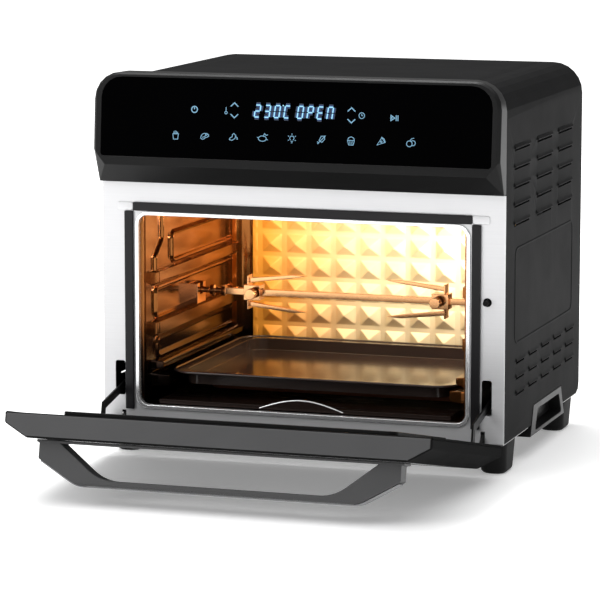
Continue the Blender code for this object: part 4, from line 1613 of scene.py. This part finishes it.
    def steak(self, pen: Pen, x: float, h: float) -> None:
        """A steak.

        Args:
            pen: what to draw it with.
            x: place of its centre across, in millimetres.
            h: height of its centre, in millimetres.
        """
        turn = np.radians(np.arange(0, 360, 24))
        radius = 3.4 + 0.9 * np.cos(2 * (turn - 0.6)) + 0.5 * np.cos(3 * turn)
        self.line(pen, x, h, zip(radius * np.cos(turn), radius * 0.8 * np.sin(turn)), True)
        self.line(pen, x, h, [(-2.2, -1.3), (0.2, -0.6), (1.4, 1.0)])
        pen.arc((x + 1.9) * MM, (h + 1.5) * MM, 0.8 * MM)

    def leg(self, pen: Pen, x: float, h: float) -> None:
        """A drumstick.

        Args:
            pen: what to draw it with.
            x: place of its centre across, in millimetres.
            h: height of its centre, in millimetres.
        """
        meat = [(0.4, 3.3), (2.4, 1.4), (1.5, -1.4), (-1.4, -3.2)]
        bone = [(-4.0, -2.6), (-3.4, -1.0), (-1.2, 0.2), (-0.9, 2.4)]
        self.line(pen, x, h, meat + bone, True)
        self.line(pen, x, h, [(2.2, 0.4), (4.0, -0.8), (3.4, -1.8), (4.4, -2.0)])

    def bird(self, pen: Pen, x: float, h: float) -> None:
        """A whole bird on a dish.

        Args:
            pen: what to draw it with.
            x: place of its centre across, in millimetres.
            h: height of its centre, in millimetres.
        """
        turn = np.radians(np.arange(0, 360, 24))
        self.line(pen, x, h, zip(-0.2 + 3.9 * np.cos(turn), -0.6 + 2.5 * np.sin(turn)), True)
        self.line(pen, x, h, [(-3.8, -0.2), (-5.4, 0.6)])
        self.line(pen, x, h, [(0.6, 1.2), (1.8, 4.0), (3.4, 2.6), (5.2, 3.0)])
        self.line(pen, x, h, [(3.4, -1.4), (5.2, -1.6)])

    def lamp(self, pen: Pen, x: float, h: float) -> None:
        """A lamp with rays.

        Args:
            pen: what to draw it with.
            x: place of its centre across, in millimetres.
            h: height of its centre, in millimetres.
        """
        pen.arc(x * MM, (h + 0.6) * MM, 2.1 * MM, -55, 235)
        self.line(pen, x, h, [(-1.0, -2.2), (1.0, -2.2)])
        self.line(pen, x, h, [(-0.7, -3.6), (0.7, -3.6)])
        for angle in range(-30, 211, 60):
            c, s = math.cos(math.radians(angle)), math.sin(math.radians(angle))
            self.line(pen, x, h, [(3.3 * c, 0.6 + 3.3 * s), (4.4 * c, 0.6 + 4.4 * s)])

    def skewer(self, pen: Pen, x: float, h: float) -> None:
        """Food on a skewer.

        Args:
            pen: what to draw it with.
            x: place of its centre across, in millimetres.
            h: height of its centre, in millimetres.
        """
        self.line(pen, x, h, [(-3.8, -3.8), (4.0, 4.0)])
        self.line(pen, x, h, [(-0.2, 3.4), (3.0, 3.6), (3.2, 0.6), (0.6, -2.2), (-2.2, -0.6)], True)
        self.line(pen, x, h, [(-4.0, -1.6), (-2.4, -3.4)])

    def cake(self, pen: Pen, x: float, h: float) -> None:
        """A small cake in a case.

        Args:
            pen: what to draw it with.
            x: place of its centre across, in millimetres.
            h: height of its centre, in millimetres.
        """
        self.line(pen, x, h, [(-3.3, 0.4), (-2.2, -3.8), (2.2, -3.8), (3.3, 0.4)], True)
        self.line(pen, x, h, [(-3.2, 1.0), (-2.4, 2.8), (0, 3.8), (2.4, 2.8), (3.2, 1.0)])
        for a in (-1.1, 1.1):
            self.line(pen, x, h, [(a, -0.2), (a * 0.8, -3.0)])

    def slice(self, pen: Pen, x: float, h: float) -> None:
        """A slice of pizza.

        Args:
            pen: what to draw it with.
            x: place of its centre across, in millimetres.
            h: height of its centre, in millimetres.
        """
        self.line(pen, x, h, [(-3.6, -3.0), (1.0, 4.0), (3.9, -0.4)], True)
        self.line(pen, x, h, [(0.4, 4.4), (3.0, 3.0), (4.4, -0.4)])
        pen.arc((x + 0.4) * MM, (h + 0.2) * MM, 0.7 * MM)

    def fruit(self, pen: Pen, x: float, h: float) -> None:
        """Two round fruits with a leaf.

        Args:
            pen: what to draw it with.
            x: place of its centre across, in millimetres.
            h: height of its centre, in millimetres.
        """
        pen.arc((x - 1.4) * MM, (h - 0.9) * MM, 2.7 * MM)
        pen.arc((x + 2.0) * MM, (h - 0.2) * MM, 2.3 * MM, -120, 130)
        self.line(pen, x, h, [(-1.0, 1.8), (0.6, 3.8), (3.0, 4.4)])


@dataclass
class Door:
    """Door frame, panes, inner panel, handle and trim.

    Attributes:
        edge: rounding of the frame.
        thick: thickness of the door.
        margin: how much smaller the end pad is than the door's section.
        slant_start: depth where the section's slanted ends start.
        slant_run: how far they run in from the door's sides.
        opening: angle by which the door stands open, in degrees.
    """

    edge: float = 1.6 * MM
    thick: float = 22.5 * MM
    margin: float = 1.8 * MM
    slant_start: float = 9.2 * MM
    slant_run: float = 21.5 * MM
    opening: float = 77.6

    def build(self) -> None:
        """Dresses the door."""
        softened("door_frame", self.edge, DEEP_PLASTIC, 25, 3)
        softened("door_handle", 1.0 * MM, GREY_PLASTIC, 25, 3)
        softened("handle_trim", 0.3 * MM, SILVER)
        softened("door_inner_panel", 0.8 * MM, DARK_PLASTIC, 30, 3)
        for name in ("door_outer_glass", "door_inner_glass"):
            softened(name, 0.3 * MM, DOOR_GLASS)
        self.end_cap()

    def end_cap(self) -> None:
        """Pad on the free end: the door's section, shrunk by a margin and raised a little.

        The section is a strip with slanted ends. Its corners are found from the frame's widest points
        and the angle of the open door.
        """
        low, high = place_of("door_frame")
        turn = math.radians(self.opening)
        along = np.array([0.0, -math.sin(turn), math.cos(turn)])
        outward = np.array([0.0, -math.cos(turn), -math.sin(turn)])
        inner = np.array([0.0, low.y + self.thick * math.cos(turn), high.z])
        side = high.x - self.margin
        section = [
            (-side, self.margin * 0.6),
            (-side, self.slant_start),
            (self.slant_run - high.x, self.thick - self.margin),
        ]
        section += [(-x, d) for x, d in section[::-1]]
        rings = []
        for inset, proud in ((0.0, -0.3 * MM), (0.0, 0.35 * MM), (0.5 * MM, 0.6 * MM)):
            x, d = np.array(section).T
            x = x - np.copysign(inset, x)
            d = d + np.where(d < self.thick / 2, inset, -inset)
            ring = inner + along * proud + d[:, None] * outward
            ring[:, 0] += x
            rings.append(ring)
        cap = lofted("door_end_cap", rings, GREY_PLASTIC)
        attach(smooth(cap, 20), "door")


@dataclass
class Studio:
    """White floor, soft boxes, the warm light in the cavity, and the camera.

    Attributes:
        eye: the camera's place in metres.
        yaw: its turn to the left, in radians.
        pitch: its tilt, in radians.
        lens: focal length for a 36 mm sensor.
    """

    eye: Triple = (0.9615, -2.9465, 0.627)
    yaw: float = math.radians(18.238)
    pitch: float = math.radians(-8.643)
    lens: float = 197.0

    def camera(self) -> None:
        """Sets the camera."""
        data = bpy.data.cameras.new("camera")
        data.lens = self.lens
        data.sensor_width = 36.0
        data.clip_end = 100.0
        camera = bpy.data.objects.new("camera", data)
        camera.location = self.eye
        camera.rotation_euler = (math.pi / 2 + self.pitch, 0.0, self.yaw)
        bpy.context.scene.collection.objects.link(camera)
        bpy.context.scene.camera = camera

    def softbox(
        self, name: str, at: Triple, towards: Triple, size: tuple[float, float], power: float, colour: Colour
    ) -> None:
        """Adds a rectangular area light.

        Args:
            name: the light's name.
            at: its place.
            towards: the point that it faces.
            size: its width and height.
            power: in watts.
            colour: of its light.
        """
        data = bpy.data.lights.new(name, "AREA")
        data.shape = "RECTANGLE"
        data.size, data.size_y = size
        data.energy = power
        data.color = colour
        light = bpy.data.objects.new(name, data)
        light.location = at
        light.rotation_euler = (Vector(towards) - Vector(at)).to_track_quat("-Z", "Y").to_euler()
        bpy.context.scene.collection.objects.link(light)

    def lights(self) -> None:
        """Sets the studio's soft boxes, the cavity's light and the surroundings."""
        white, lamp_tint, heater_tint = (1.0, 1.0, 1.0), (1.0, 0.88, 0.68), (1.0, 0.78, 0.47)
        self.softbox("overhead", (0.0, -0.4, 2.6), (0, 0, 0.1), (4.6, 4.6), 105, white)
        self.softbox("rim", (-0.6, 0.5, 2.4), (0, 0, 0.37), (2.4, 0.5), 46, white)
        self.softbox("front_left", (-2.2, -2.6, 1.6), (0, 0, 0.2), (1.8, 1.8), 38, white)
        lamp_low, lamp_high = place_of("lamp_glass")
        lamp = (lamp_low + lamp_high) / 2
        bulb = (lamp_low.x - 0.008, lamp.y, lamp.z)
        self.softbox("cavity_lamp", bulb, (-0.1, lamp.y, 0.16), (0.045, 0.034), 0.48, lamp_tint)
        element = (-0.05, lamp.y - 0.02, place_of("upper_heater")[0].z - 0.004)
        self.softbox("cavity_heater", element, (-0.05, lamp.y + 0.1, 0.1), (0.2, 0.1), 0.39, heater_tint)
        world = bpy.data.worlds.new("studio")
        world.use_nodes = True
        background = world.node_tree.nodes["Background"]
        background.inputs["Color"].default_value = (1, 1, 1, 1)
        background.inputs["Strength"].default_value = 0.25
        bpy.context.scene.world = world
        bpy.context.scene.view_settings.view_transform = "Standard"

    def floor(self) -> None:
        """Lays the white floor."""
        reach, thick = 30.0, 0.02
        paper = Paper("studio_paper", (0.93, 0.93, 0.93), 0.9, gloss=0.0)
        floor = box_piece("studio_floor", (-reach, -reach, -thick), (reach, reach, 0.0), paper)


def main() -> None:
    """Builds the studio and the sub-assemblies."""
    logging.basicConfig(level=logging.INFO, format="%(name)s: %(message)s")
    studio = Studio()
    studio.camera()
    for assembly in (Casing(), Front(), Cavity(), Rotisserie(), Trays(), ControlHead(), Door()):
        before = set(bpy.data.objects.keys())
        assembly.build()
        for piece in sorted(set(bpy.data.objects.keys()) - before):
            LOG.info("%s: %s", type(assembly).__name__, piece)
    studio.floor()
    studio.lights()


if __name__ == "__main__":
    main()
